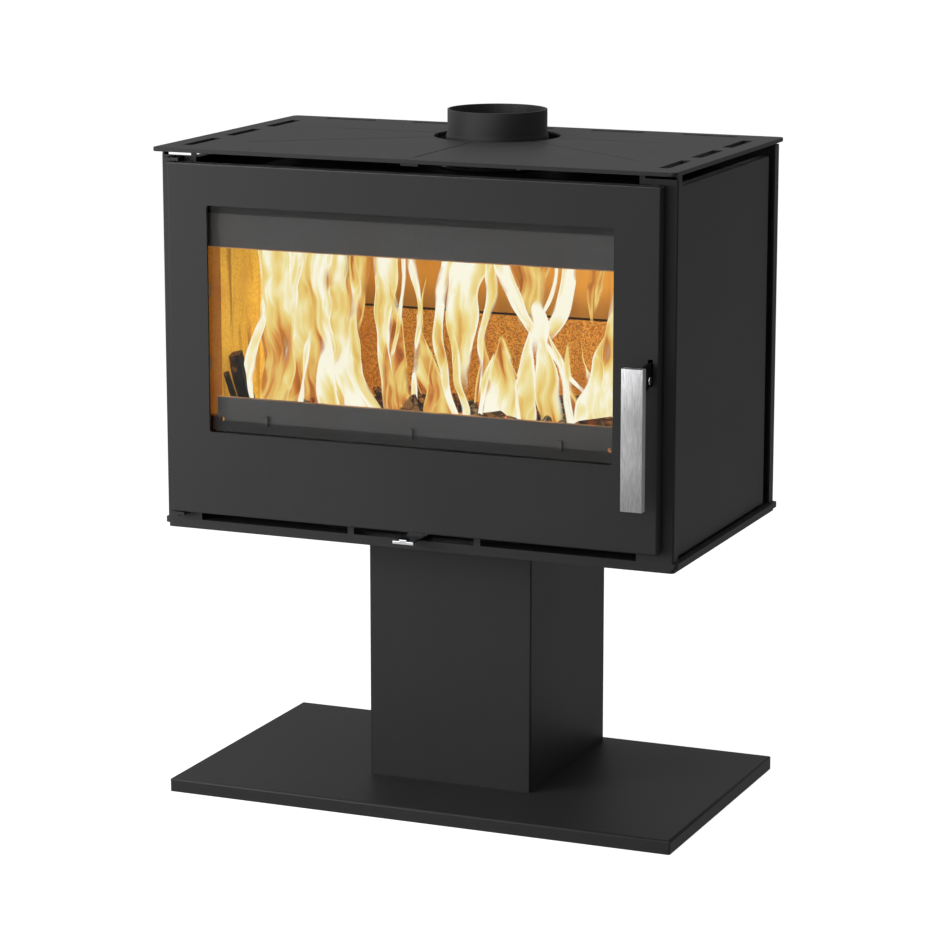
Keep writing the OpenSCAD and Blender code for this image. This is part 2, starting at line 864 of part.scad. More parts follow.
module floor_bricks() {
    fit = 0.5;
    x = grate_w / 2 + fit;
    y0 = grate_y - grate_d / 2 - fit;
    y1 = grate_y + grate_d / 2 + fit;
    color(vermiculite) {
        block([-lining_x, lining_y0, brick_z], [lining_x, y0, lining_z]);
        block([-lining_x, y1, brick_z], [lining_x, box_y1, lining_z]);
        block([-lining_x, y0 + fit, brick_z], [-x, y1 - fit, lining_z]);
        block([x, y0 + fit, brick_z], [lining_x, y1 - fit, lining_z]);
    }
}

module grate() {
    pitch = grate_slot_w + grate_bar_w;
    room = grate_w - 2 * grate_rim + grate_bar_w;
    count = floor(room / pitch);
    slot_l = grate_d - 2 * grate_rim;
    color(cast) difference() {
        block([-grate_w / 2, grate_y - grate_d / 2, brick_z],
              [grate_w / 2, grate_y + grate_d / 2, brick_z + grate_t]);
        for (i = [0:count - 1])
            translate([(i - (count - 1) / 2) * pitch, grate_y, brick_z])
                cube([grate_slot_w, slot_l, 3 * grate_t], center = true);
    }
}

module ash_pan() {
    s = pan_sheet;
    y0 = frame_back + 12;
    tab_w = 80;
    tab_d = 10;
    color(bare_steel) difference() {
        union() {
            block([-pan_w / 2, y0, ash_z], [pan_w / 2, y0 + pan_d, ash_z + pan_h]);
            block([-tab_w / 2, y0 - tab_d, ash_z + pan_h - s], [tab_w / 2, y0 + eps, ash_z + pan_h]);
        }
        block([-pan_w / 2 + s, y0 + s, ash_z + s], [pan_w / 2 - s, y0 + pan_d - s, ash_z + pan_h + eps]);
    }
}

module side_lining() {
    block([lining_face_x, lining_y0, lining_z], [lining_x, box_y1, lining_top]);
}

module lining_left() { color(vermiculite) mirror([1, 0, 0]) side_lining(); }

module lining_right() { color(vermiculite) side_lining(); }

module rear_board(z0, z1) {
    color(vermiculite) block([-lining_face_x, lining_face_y, z0], [lining_face_x, box_y1, z1]);
}

module lining_rear_lower() { rear_board(lining_z, lining_z + rear_board_h); }

module lining_rear_upper() { rear_board(lining_z + rear_board_h + board_joint, lining_top); }

module baffle() {
    color(vermiculite)
        block([-lining_x, frame_back + baffle_front, lining_top], [lining_x, box_y1, lining_top + baffle_t]);
}

// ---------- Flue ----------

flue_top = top_face + flue_rise;

module flue_spigot() {
    z0 = roof_z + box_steel;
    r = flue_d / 2;
    root_r = r + flue_flare;
    color(coat) difference() {
        translate([0, flue_y, 0]) rotate_extrude($fn = 96) polygon([
            [flue_inner_d / 2, z0], [root_r + flue_flange, z0], [root_r + flue_flange, z0 + flue_flange_t],
            [root_r, z0 + flue_flange_t], [root_r, top_face], [r, flue_top - flue_straight],
            [r, flue_top], [flue_inner_d / 2, flue_top]
        ]);
        flue_bolt_holes(z0 - eps, z0 + flue_flange_t + eps);
    }
}

module flue_bolts() {
    z0 = roof_z + box_steel + flue_flange_t;
    color(bare_steel) for (p = flue_bolt_spots) {
        rod_z(p[0], flue_y + p[1], roof_z - flue_bolt_tip, z0, flue_bolt_d);
        translate([p[0], flue_y + p[1], z0]) cylinder(h = flue_bolt_head_h, d = flue_bolt_d * 1.8, $fn = 6);
    }
}

// ---------- Combustion air ----------

module air_spigot() {
    lip = 8;
    lip_t = 2;
    r = air_d / 2;
    color(bare_steel) translate([0, air_y, 0]) rotate_extrude($fn = 72) polygon([
        [r - air_wall, tray_z - column_plate_t - air_spigot_l], [r, tray_z - column_plate_t - air_spigot_l],
        [r, deck_z], [r + lip, deck_z], [r + lip, deck_z + lip_t], [r - air_wall, deck_z + lip_t]
    ]);
}

module air_duct() {
    x = duct_w / 2;
    w = duct_wall;
    ledge_d = seat + slide_t + 2;
    stop_x = shutter_w / 2 + slide_travel + seat;
    stop_h = 10;
    color(coat_dark) difference() {
        union() {
            block([-x - w, duct_y0, deck_z], [x + w, duct_y1 + w, deck_z + duct_h]);
            // The ledge that carries the air slide, with a stop at each end
            block([-stop_x - w, duct_y0 - ledge_d, deck_z], [stop_x + w, duct_y0 + w, stem_z - seat]);
            for (side = [-stop_x - w, stop_x])
                block([side, duct_y0 - ledge_d, deck_z], [side + w, duct_y0 + w, stem_z + stop_h]);
        }
        block([-x, duct_y0 + w, deck_z - eps], [x, duct_y1, deck_z + duct_h + eps]);
        for (s = [-1, 1])
            block([s * port_x - port_w / 2, duct_y0 - eps, port_z0],
                  [s * port_x + port_w / 2, duct_y0 + w + eps, port_z1]);
    }
}

knob_y0 = front_y - knob_reach;
knob_y1 = knob_y0 + knob_d;
slide_top = stem_z + slide_t;

module air_slide() {
    y1 = duct_y0 - seat;
    color(bare_steel) difference() {
        union() {
            block([-stem_w / 2, knob_y1, stem_z], [stem_w / 2, y1, slide_top]);
            block([-shutter_w / 2, y1 - slide_t, stem_z], [shutter_w / 2, y1, stem_z + shutter_h]);
        }
        for (s = [-1, 1])
            block([s * port_x - port_w / 2, y1 - slide_t - eps, port_z0],
                  [s * port_x + port_w / 2, y1 + eps, port_z1]);
    }
}

module air_knob() {
    stub_w = 12;
    stub_d = 14;
    stub_t = 2.5;
    color(stainless) {
        block([-knob_w / 2, knob_y0, slide_top - knob_h], [knob_w / 2, knob_y1, slide_top]);
        block([-stub_w / 2, knob_y0, slide_top], [stub_w / 2, knob_y0 + stub_d, slide_top + stub_t]);
    }
}

// ---------- Hinges and strike ----------

hinge_bore = pin_d + 2 * run;

module hinge_brackets() {
    outer = 12;
    inner = 11;
    lead = 8;
    color(coat) difference() {
        for (z = [bracket_low_z, bracket_high_z])
            block([axis_x - outer, axis_y - lead, z], [axis_x + inner, front_y, z + bracket_t]);
        rod_z(axis_x, axis_y, bracket_low_z - eps, bracket_high_z + bracket_t + eps, hinge_bore);
    }
}

module hinge_pins() {
    low_top = door_z0 + door_sheet + bush_l - pin_short;
    high_low = door_z1 - door_sheet - bush_l + pin_short;
    high_head = bracket_high_z + bracket_t;
    color(bare_steel) {
        rod_z(axis_x, axis_y, bracket_low_z, low_top, pin_d);
        rod_z(axis_x, axis_y, bracket_low_z - pin_head_h, bracket_low_z, pin_d * 1.5);
        rod_z(axis_x, axis_y, high_low, high_head, pin_d);
        rod_z(axis_x, axis_y, high_head, high_head + pin_head_h, pin_d * 1.5);
    }
}

module hinge_washer() {
    z0 = bracket_low_z + bracket_t;
    color(bare_steel) difference() {
        rod_z(axis_x, axis_y, z0, door_z0 - seat, pin_d * 2);
        rod_z(axis_x, axis_y, z0 - eps, door_z0 + eps, hinge_bore);
    }
}

ear_t = 3;
ear_room = 6;
ear_x0 = lever_x0 - ear_room - ear_t;
ear_x1 = lever_x1 + ear_room + ear_t;

module strike_bracket() {
    ear_half = 10;
    y1 = hook_y + 6;
    ear_low = strike_z - ear_half;
    ear_high = strike_z + ear_half;
    color(coat_dark) difference() {
        union() {
            block([ear_x0, frame_back, ear_low], [ear_x0 + ear_t, y1, ear_high + ear_t]);
            block([ear_x1 - ear_t, frame_back, ear_low], [ear_x1, y1, ear_high + ear_t]);
            block([ear_x0, frame_back, ear_high], [ear_x1, y1, ear_high + ear_t]);
        }
        rod_x(ear_x0 - eps, ear_x1 + eps, strike_y, strike_z, strike_d + 2 * run);
    }
}

module strike_pin() {
    color(bare_steel) rod_x(ear_x0, ear_x1, strike_y, strike_z, strike_d);
}

// ---------- Door ----------

// An outline in Y and Z whose two front corners are round
module round_nose(y0, y1, z0, z1, r) {
    translate([y0 + r, z0]) square([y1 - y0 - r, z1 - z0]);
    translate([y0, z0 + r]) square([r + 0.1, z1 - z0 - 2 * r]);
    for (z = [z0 + r, z1 - r]) translate([y0 + r, z]) circle(r);
}

// The window's outline, grown by a margin
module window_hole(y0, y1, margin, r) {
    along_y(y0, y1)
        round_rect([win_x0 - margin, win_z0 - margin], [win_x1 + margin, win_z1 + margin], r);
}

module lever_slot(y0, y1, low, high) {
    x = (lever_x0 + lever_x1) / 2;
    block([x - lever_slot_w / 2, y0, low], [x + lever_slot_w / 2, y1, high]);
}

module door_skin() {
    s = door_sheet;
    relief = 3;
    color(coat) difference() {
        intersection() {
            translate([0, 0, door_z0]) linear_extrude(door_z1 - door_z0)
                round_front(-door_x, door_x, door_front, door_back, door_bend);
            along_x(-door_x, door_x) round_nose(door_front, door_back, door_z0, door_z1, door_bend);
        }
        block([-door_x + s, skin_back, door_z0 + s], [door_x - s, door_back + eps, door_z1 - s]);
        window_hole(door_front - eps, skin_back + eps, 0, window_r);
        lever_slot(door_front - eps, skin_back + eps, slot_top - lever_slot_h, slot_top);
        rod_z(axis_x, axis_y, door_z0 - eps, door_z1 + eps, hinge_bore);
        // Relief gaps where the folds meet at the free corners
        for (z = [door_z0, door_z1])
            translate([door_x - s - relief / 2, (skin_back + door_back) / 2, z])
                cube([relief, door_back - skin_back + eps, 3 * s], center = true);
    }
}

// Screws through the clips and guards into the door's inner frame
guard_screw_d = 3;
wash_lap = 7;
wash_z1 = win_z1 + glass_lap + glass_gap + wash_lap;
guard_x = (win_x1 - win_x0) / 2 - guard_side;
guard_z0 = win_z0 - glass_lap - glass_gap - guard_lap;
guard_screw_in = 41.5;
guard_screw_pitch = (guard_x - guard_screw_in) * 2 / 3;
guard_screw_spots = [
    for (i = [-1.5:1.5], z = [guard_z0 + guard_lap / 2, wash_z1 - wash_lap / 2]) [i * guard_screw_pitch, z]
];
clip_z = [for (share = [0.3, 0.62]) win_z0 + (win_z1 - win_z0) * share];
clip_edge = glass_lap + glass_gap;
clip_t = 1.5;
clip_screw_out = clip_edge + 4.5;
clip_screw_spots = [
    for (x = [win_x0 - clip_screw_out, win_x1 + clip_screw_out], z = clip_z) [x, z]
];

module screw_holes(spots, y0, y1) {
    for (p = spots) rod_y(p[0], y0, y1, p[1], guard_screw_d + 2 * hole_clear);
}

// How far the hinge bushes reach past the hinge axis
bush_out = 8;

module door_frame() {
    x = door_x - door_sheet;
    z0 = door_z0 + door_sheet;
    z1 = door_z1 - door_sheet;
    edge = glass_lap + glass_gap;
    notch_x = axis_x + bush_out + 1;
    notch_room = 0.5;
    color(coat_dark) difference() {
        union() {
            block([-x, inner_front, z0], [x, door_back, z1]);
            block([win_x0 - edge - inner_sheet, skin_back, win_z0 - edge - inner_sheet],
                  [win_x1 + edge + inner_sheet, inner_front + eps, win_z1 + edge + inner_sheet]);
        }
        block([win_x0 - edge, skin_back - eps, win_z0 - edge],
              [win_x1 + edge, door_back + eps, win_z1 + edge]);
        lever_slot(inner_front - eps, door_back + eps, pivot_z - 30, pivot_z + 34);
        block([-x - eps, inner_front - eps, z0 - eps], [notch_x, door_back + eps, z0 + bush_l + notch_room]);
        block([-x - eps, inner_front - eps, z1 - bush_l - notch_room], [notch_x, door_back + eps, z1 + eps]);
        screw_holes(guard_screw_spots, inner_front - eps, door_back + eps);
        screw_holes(clip_screw_spots, inner_front - eps, door_back + eps);
    }
}

module hinge_bushes() {
    x0 = -door_x + door_sheet;
    low = door_z0 + door_sheet;
    high = door_z1 - door_sheet - bush_l;
    color(bare_steel) difference() {
        for (z = [low, high]) block([x0, skin_back, z], [axis_x + bush_out, door_back, z + bush_l]);
        rod_z(axis_x, axis_y, low - eps, high + bush_l + eps, hinge_bore);
    }
}

module glass() {
    color(glass_tint) window_hole(glass_y0, glass_y1, glass_lap, window_r);
}

module glass_tape() {
    color(coat_dark) difference() {
        window_hole(skin_back, glass_y0, glass_lap, window_r);
        window_hole(skin_back - eps, glass_y0 + eps, 0.8, window_r);
    }
}

// A clip at the left or right edge of the glass: a plate with a leg that presses the glass
module glass_clips() {
    clip_h = 20;
    clip_lap = 8;
    leg_t = 2;
    reach = glass_lap - 3;
    color(bare_steel) difference() {
        for (z = clip_z, s = [-1, 1]) {
            edge = s < 0 ? win_x0 - glass_lap : win_x1 + glass_lap;
            tip = edge - s * reach;
            heel = edge + s * (glass_gap + clip_lap);
            block([min(tip, heel), door_back, z - clip_h / 2],
                  [max(tip, heel), door_back + clip_t, z + clip_h / 2]);
            block([min(tip, tip + s * leg_t), glass_y1 + seat, z - clip_h / 2],
                  [max(tip, tip + s * leg_t), door_back + clip_t, z + clip_h / 2]);
        }
        screw_holes(clip_screw_spots, door_back - eps, door_back + clip_t + eps);
    }
}

// Small screws whose heads lie on a sheet of thickness t behind the door's inner frame
module small_screws(spots, t) {
    color(bare_steel) for (p = spots) {
        rod_y(p[0], inner_front, door_back + t, p[1], guard_screw_d);
        rod_y(p[0], door_back + t, door_back + t + screw_head_h, p[1], guard_screw_d * 1.7);
    }
}

module clip_screws() { small_screws(clip_screw_spots, clip_t); }

module guard_screws() { small_screws(guard_screw_spots, guard_t); }

module air_wash_plate() {
    edge = clip_edge + 8;
    color(coat) difference() {
        block([win_x0 - edge, door_back, win_z1 - wash_drop], [win_x1 + edge, guard_y1, wash_z1]);
        screw_holes(guard_screw_spots, door_back - eps, guard_y1 + eps);
    }
}

module log_guard() {
    tab_w = 6;
    tab_h = 15;
    tab_rise = 12;
    tab_in = 80.5;
    tab_x = guard_x - tab_in;
    hole_in = 7;
    hole_rise = 18;
    x = guard_x;
    color(coat) difference() {
        union() {
            block([-x, door_back, guard_z0], [x, guard_y1, win_z0 + guard_rise]);
            // Bent tabs that keep the guard off the glass
            for (s = [-1, 0, 1])
                block([s * tab_x - tab_w / 2, glass_y1 + seat, win_z0 + tab_rise],
                      [s * tab_x + tab_w / 2, door_back + eps, win_z0 + tab_rise + tab_h]);
        }
        for (s = [-1, 1])
            rod_y(s * (x - hole_in), door_back - eps, guard_y1 + eps, win_z0 + hole_rise, guard_hole_d);
        screw_holes(guard_screw_spots, door_back - eps, guard_y1 + eps);
    }
}

module door_gasket() {
    side = mouth_x + gasket_side;
    z0 = mouth_z0 - gasket_edge;
    z1 = mouth_z1 + gasket_edge;
    w = gasket_w;
    y1 = front_y - seat;
    color(rope) difference() {
        along_y(door_back, y1) round_rect([-side - w, z0 - w], [side + w, z1 + w], w);
        block([-side, door_back - eps, z0], [side, y1 + eps, z1]);
    }
}

// ---------- Handle and latch ----------

pivot_bore = pivot_d + 2 * run;
bearing_w = 15;
bearing_x0 = lever_x0 - bearing_w;
bearing_half = 8;
flange_t = 3;
flange_half = 16;
handle_screw_d = 4;
handle_screw_in = 4;
handle_screw_z = [pivot_z - 10, pivot_z + 10];
handle_screw_x = bearing_x0 + handle_screw_in;
handle_screw_l = 6;
handle_head_h = 1.5;

module handle_bearing() {
    color(coat_dark) difference() {
        block([bearing_x0, pivot_y - bearing_half, pivot_z - bearing_half],
              [lever_x0 - seat, door_front, pivot_z + bearing_half]);
        rod_x(bearing_x0 - eps, lever_x0 + eps, pivot_y, pivot_z, pivot_bore);
    }
}

module pivot_pin() {
    head_t = 3;
    color(stainless) {
        rod_x(bearing_x0, lever_x1 + seat, pivot_y, pivot_z, pivot_d);
        rod_x(lever_x1 + seat, lever_x1 + seat + head_t, pivot_y, pivot_z, pivot_head_d);
    }
}

module handle_lever() {
    grip = bar_y1 - pivot_y;
    nose = hook_y - pivot_y;
    tip = nose + 8;
    arm_low_rise = arm_low - pivot_z;
    arm_high_rise = arm_high - pivot_z;
    hook_rise = strike_z + strike_d / 2 - pivot_z;
    neck = pivot_reach - 3;
    color(coat_dark) difference() {
        union() {
            along_x(lever_x0, lever_x1) translate([pivot_y, pivot_z]) polygon([
                [grip, -flange_half], [4, -11], [neck, -4], [neck, arm_low_rise], [tip, arm_low_rise],
                [tip, hook_rise], [nose, hook_rise], [nose, arm_high_rise], [-6, arm_high_rise],
                [grip, flange_half]
            ]);
            block([bearing_x0 - 2, bar_y1, pivot_z - flange_half],
                  [lever_x1, bar_y1 + flange_t, pivot_z + flange_half]);
        }
        rod_x(lever_x0 - eps, lever_x1 + eps, pivot_y, pivot_z, pivot_bore);
        for (z = handle_screw_z)
            rod_y(handle_screw_x, bar_y1 - eps, bar_y1 + flange_t + eps, z, handle_screw_d + 2 * hole_clear);
    }
}

module handle_bar() {
    color(stainless) difference() {
        translate([0, 0, bar_z0]) linear_extrude(bar_l) round_rect([bar_x0, bar_y0], [bar_x1, bar_y1], 1);
        for (z = handle_screw_z)
            rod_y(handle_screw_x, bar_y1 - handle_screw_l - 1, bar_y1 + eps, z,
                  handle_screw_d + 2 * hole_clear);
    }
}

module handle_screws() {
    color(bare_steel) for (z = handle_screw_z) {
        rod_y(handle_screw_x, bar_y1 - handle_screw_l, bar_y1 + flange_t, z, handle_screw_d);
        rod_y(handle_screw_x, bar_y1 + flange_t, bar_y1 + flange_t + handle_head_h, z, handle_screw_d * 1.7);
    }
}

base_plate();
base_bottom();
column_foot();
column_shell();
column_rear_cover();
column_cover_screws();
column_foot_bolts();
column_head();
column_head_bolts();
lower_tray();
bottom_plate();
front_frame();
rear_panel();
rear_panel_screws();
side_panel_left();
side_panel_right();
panel_spacers();
top_plate();
firebox_left();
firebox_right();
firebox_rear();
firebox_roof();
ash_floor();
brick_rails();
floor_bricks();
grate();
ash_pan();
lining_left();
lining_right();
lining_rear_lower();
lining_rear_upper();
baffle();
flue_spigot();
flue_bolts();
air_spigot();
air_duct();
air_slide();
air_knob();
hinge_brackets();
hinge_pins();
hinge_washer();
strike_bracket();
strike_pin();
door_skin();
door_frame();
hinge_bushes();
glass();
glass_tape();
glass_clips();
clip_screws();
air_wash_plate();
log_guard();
guard_screws();
door_gasket();
handle_bearing();
pivot_pin();
handle_lever();
handle_bar();
handle_screws();
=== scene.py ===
import math
import random

import bmesh
import bpy
from bpy.props import FloatProperty, FloatVectorProperty, IntProperty, PointerProperty
from bpy.types import NodeSocket, Operator, Panel, PropertyGroup
from mathutils import Euler, Matrix, Vector, noise


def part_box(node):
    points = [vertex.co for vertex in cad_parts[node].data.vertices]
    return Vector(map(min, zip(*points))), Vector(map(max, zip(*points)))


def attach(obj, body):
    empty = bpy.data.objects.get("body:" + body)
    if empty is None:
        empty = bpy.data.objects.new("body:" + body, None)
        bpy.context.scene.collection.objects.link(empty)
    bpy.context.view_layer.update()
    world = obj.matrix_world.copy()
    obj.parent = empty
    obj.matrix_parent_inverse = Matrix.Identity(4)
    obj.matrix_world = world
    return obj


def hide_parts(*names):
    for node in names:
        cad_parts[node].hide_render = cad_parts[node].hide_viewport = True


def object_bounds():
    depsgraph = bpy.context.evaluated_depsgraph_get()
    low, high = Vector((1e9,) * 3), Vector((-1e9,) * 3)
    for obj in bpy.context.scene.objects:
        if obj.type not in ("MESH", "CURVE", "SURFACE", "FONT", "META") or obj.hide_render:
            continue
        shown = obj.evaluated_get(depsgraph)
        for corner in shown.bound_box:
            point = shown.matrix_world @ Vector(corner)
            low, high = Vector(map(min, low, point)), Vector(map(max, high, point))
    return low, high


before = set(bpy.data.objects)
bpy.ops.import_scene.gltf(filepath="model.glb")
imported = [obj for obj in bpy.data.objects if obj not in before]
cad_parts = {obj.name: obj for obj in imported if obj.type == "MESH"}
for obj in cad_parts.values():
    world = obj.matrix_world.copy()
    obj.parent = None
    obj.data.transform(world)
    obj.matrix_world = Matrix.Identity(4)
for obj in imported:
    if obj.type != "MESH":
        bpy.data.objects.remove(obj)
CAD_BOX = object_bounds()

bl_info = {
    "name": "Wood burning stove",
    "version": (1, 0, 0),
    "blender": (4, 5, 0),
    "location": "View3D > Sidebar > Stove",
    "description": "Dresses a freestanding wood burning stove with its finishes and a lit fire",
    "category": "Object",
}

MM = 0.001
# How far an edge turns before it counts as sharp
SHARP = math.radians(40)
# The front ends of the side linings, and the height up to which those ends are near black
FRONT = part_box("lining_left")[0].y
FRONT_DARK_TOP = 590 * MM


def linear(red, green, blue):
    """A colour given as it looks on a screen, 0 to 255, as the light values that nodes take."""

    def channel(value):
        level = value / 255
        return level / 12.92 if level <= 0.04045 else ((level + 0.055) / 1.055) ** 2.4

    return channel(red), channel(green), channel(blue)


def scaled(tone, times):
    """A colour with its light multiplied, up to full."""
    return [min(1, channel * times) for channel in tone]


# ---------------------------------------------------------------- sizes and colours


def colour(name, description, default):
    return FloatVectorProperty(
        name=name, description=description, subtype="COLOR", size=3, min=0, max=1, default=default
    )


def length(name, description, default):
    return FloatProperty(name=name, description=description, unit="LENGTH", min=0, default=default)


def share(name, description, default):
    return FloatProperty(
        name=name, description=description, subtype="FACTOR", min=0, max=1, default=default
    )


def amount(name, description, default):
    return FloatProperty(name=name, description=description, min=0, default=default)


def angle(name, description, degrees):
    return FloatProperty(
        name=name, description=description, subtype="ANGLE", default=math.radians(degrees)
    )


class StoveCoat(PropertyGroup):
    """The matt heat-resistant paint of the casing, door, column and base."""

    paint: colour("Paint", "Colour of the matt paint", linear(50, 50, 50))
    dust: colour("Dust", "Colour of the fine dust that dulls the paint", linear(72, 71, 70))
    roughness: share("Roughness", "How matt the paint is", 0.5)
    grain: length("Grain", "Size of the paint's sprayed grain", 0.0011)
    cloud: length("Cloud", "Size of the soft cloudy patches", 0.22)
    edge: length("Edge radius", "Rounding of the sheet metal's cut edges", 0.0007)
    bend: length("Bend radius", "Radius of the folded sheets' bends", 0.0024)
    # The bends' colour: a painted highlight laid along each bend, in patches
    wear_and_painted_highlight: colour("Wear", "Colour of the paint rubbed smooth along the bends", linear(128, 128, 128))


class StoveSteel(PropertyGroup):
    """The uncoated steel pieces."""

    inner: colour("Inner steel", "Colour of the dark steel inside the firebox", linear(17, 16, 15))
    zinc: colour("Zinc", "Colour of the plated screws and air parts", linear(150, 152, 156))
    brushed: colour("Brushed steel", "Colour of the brushed handle bar", linear(153, 153, 154))
    chrome: colour("Chrome", "Colour of the air control's knob", linear(205, 207, 210))
    iron: colour("Cast iron", "Colour of the grate", linear(52, 48, 45))
    streak: length("Streak", "Width of the brushing marks", 0.0016)


class StoveLining(PropertyGroup):
    """The pressed boards that line the firebox."""

    board: colour("Board", "Colour of the pressed boards", linear(196, 148, 80))
    # The side boards' lighter, more golden colour is painted firelight on the same board
    side: colour("Side board", "Colour of the side boards, nearest to the flames", linear(204, 172, 88))
    fleck: colour("Fleck", "Colour of the darker flecks", linear(128, 88, 42))
    glow: colour("Glow", "Colour of the firelight that the boards hold", linear(255, 226, 130))
    strength: share("Glow strength", "How strongly the boards glow", 0.55)


class StoveRope(PropertyGroup):
    """The glass rope that seals the door."""

    yarn: colour("Yarn", "Colour of the glass yarn", linear(96, 95, 92))
    lay: length("Lay", "Length of one turn of a strand", 0.016)
    strands: IntProperty(
        name="Strands", description="Strands laid round each other", min=2, max=6, default=3
    )


class StoveFire(PropertyGroup):
    """The logs, embers and flames."""

    core: colour("Core", "Colour of the hottest part of a flame", linear(252, 249, 228))
    body: colour("Body", "Colour of the body of a flame", linear(236, 208, 122))
    fringe: colour("Fringe", "Colour of a flame's thin edges", linear(214, 146, 68))
    fold: colour("Fold", "Colour of the folds between flames", linear(176, 94, 44))
    deep: colour("Deep fold", "Colour of the deepest folds", linear(120, 60, 36))
    cool: share("Cooling", "How far all the flames burn below their own heat", 0.3)
    bark: colour("Bark", "Colour of the charred bark", linear(34, 28, 24))
    wood: colour("Wood", "Colour of the split wood", linear(150, 108, 62))
    ember: colour("Ember", "Colour of the glowing coals", linear(255, 118, 28))


class StoveStage(PropertyGroup):
    """The floor, backdrop, lamps and camera."""

    floor: length("Floor", "Width of the floor", 60)
    backdrop: amount("Backdrop", "Brightness of the backdrop, 1 is white", 1)
    lift: amount("Floor lift", "How far the floor is lifted to white", 0.95)
    shade: share("Shade", "How bright the studio's right side is, as the stove mirrors it", 0.42)
    far: share("Far wall", "How bright the studio's far wall is, as the stove mirrors it", 0.42)
    softbox: amount("Softbox", "Brightness up in front, as the stove mirrors it", 3.5)
    soft_light: amount("Soft light", "Light from all round", 0.10)
    key: amount("Key lamp", "Power of the large lamp at the front left", 27)
    top: amount("Top lamp", "Power of the lamp overhead", 6)
    firelight: amount("Firelight", "Power of each lamp in the fire", 0.5)
    azimuth: angle("Azimuth", "Camera's turn round the stove", 22.81)
    elevation: angle("Elevation", "Camera's height above level", 11.9)
    distance: length("Distance", "Camera's distance from its aim", 5.218)
    lens: amount("Lens", "Focal length in millimetres", 131.33)


# ---------------------------------------------------------------- node trees


class Finish:
    """The node tree of a material, or of a world that is given. Each call lays one node or a few and
    returns the socket to go on from."""

    def __init__(self, name, world=None):
        self.owner = world or bpy.data.materials.new(name)
        self.owner.use_nodes = True
        self.tree = self.owner.node_tree
        self.tree.nodes.clear()
        self.place = self.node("ShaderNodeTexCoord").outputs["Generated" if world else "Object"]

    def node(self, kind, inputs=None, **settings):
        made = self.tree.nodes.new(kind)
        for name, value in settings.items():
            setattr(made, name, value)
        for key, value in (inputs or {}).items():
            if isinstance(value, NodeSocket):
                self.tree.links.new(value, made.inputs[key])
            else:
                made.inputs[key].default_value = value
        return made

    def attribute(self, name, output="Vector"):
        return self.node("ShaderNodeAttribute", attribute_name=name).outputs[output]

    def stretch(self, scale, place=None, turn=(0, 0, 0), shift=(0, 0, 0)):
        """The pattern's coordinates, drawn out along the axes."""
        inputs = {"Vector": place or self.place, "Scale": scale, "Rotation": turn, "Location": shift}
        return self.node("ShaderNodeMapping", inputs).outputs["Vector"]

    def grain(self, size, detail=3.0, roughness=0.55, place=None, distortion=0.0):
        """Noise whose lumps are about size across."""
        inputs = {
            "Vector": place or self.place, "Scale": 1 / size, "Detail": detail,
            "Roughness": roughness, "Distortion": distortion,
        }
        return self.node("ShaderNodeTexNoise", inputs).outputs["Fac"]

    def cells(self, size, place=None, feature="F1", output="Distance"):
        inputs = {"Vector": place or self.place, "Scale": 1 / size}
        return self.node("ShaderNodeTexVoronoi", inputs, feature=feature).outputs[output]

    def math(self, operation, *values):
        return self.node("ShaderNodeMath", dict(enumerate(values)), operation=operation).outputs[0]

    def times(self, first, second):
        return self.math("MULTIPLY", first, second)

    def times_plus(self, first, second, added):
        return self.math("MULTIPLY_ADD", first, second, added)

    def luminance(self, tone):
        return self.node("ShaderNodeRGBToBW", {"Color": tone}).outputs[0]

    def vector(self, x, y):
        return self.node("ShaderNodeCombineXYZ", {"X": x, "Y": y, "Z": 0.0}).outputs[0]

    def span(self, value, low, high, to_low=0.0, to_high=1.0, smooth=True):
        """value from low to high, carried to to_low to to_high and held there."""
        inputs = {"Value": value, "From Min": low, "From Max": high, "To Min": to_low, "To Max": to_high}
        kind = "SMOOTHSTEP" if smooth else "LINEAR"
        return self.node("ShaderNodeMapRange", inputs, interpolation_type=kind).outputs["Result"]

    def blend(self, factor, first, second, mode="MIX"):
        made = self.node("ShaderNodeMix", data_type="RGBA", blend_type=mode)
        sockets = (made.inputs[0], made.inputs[6], made.inputs[7])
        for socket, value in zip(sockets, (factor, first, second)):
            if isinstance(value, NodeSocket):
                self.tree.links.new(value, socket)
            else:
                socket.default_value = value if isinstance(value, (int, float)) else (*value[:3], 1)
        return made.outputs[2]

    def ramp(self, factor, stops, smooth=True):
        made = self.node("ShaderNodeValToRGB", {"Fac": factor})
        made.color_ramp.interpolation = "EASE" if smooth else "LINEAR"
        points = made.color_ramp.elements
        while len(points) < len(stops):
            points.new(1)
        for point, (at, tone) in zip(points, stops):
            point.position = at
            point.color = (*tone[:3], 1)
        return made.outputs["Color"]

    def bump(self, height, depth, normal=None):
        inputs = {"Height": height, "Distance": depth, "Strength": 1.0}
        if normal:
            inputs["Normal"] = normal
        return self.node("ShaderNodeBump", inputs).outputs["Normal"]

    def axes(self, place=None):
        split = self.node("ShaderNodeSeparateXYZ", {"Vector": place or self.place})
        return split.outputs["X"], split.outputs["Y"], split.outputs["Z"]

    def surface(self, **inputs):
        """The finish's one shader, given by its sockets' names with _ for a space."""
        named = {key.replace("_", " "): value for key, value in inputs.items()}
        for key, value in named.items():
            if key in ("Base Color", "Emission Color") and not isinstance(value, NodeSocket):
                named[key] = (*value[:3], 1)
        shader = self.node("ShaderNodeBsdfPrincipled", named)
        return self.show(shader.outputs["BSDF"])

    def show(self, socket):
        self.node("ShaderNodeOutputMaterial", {"Surface": socket})
        return self.owner


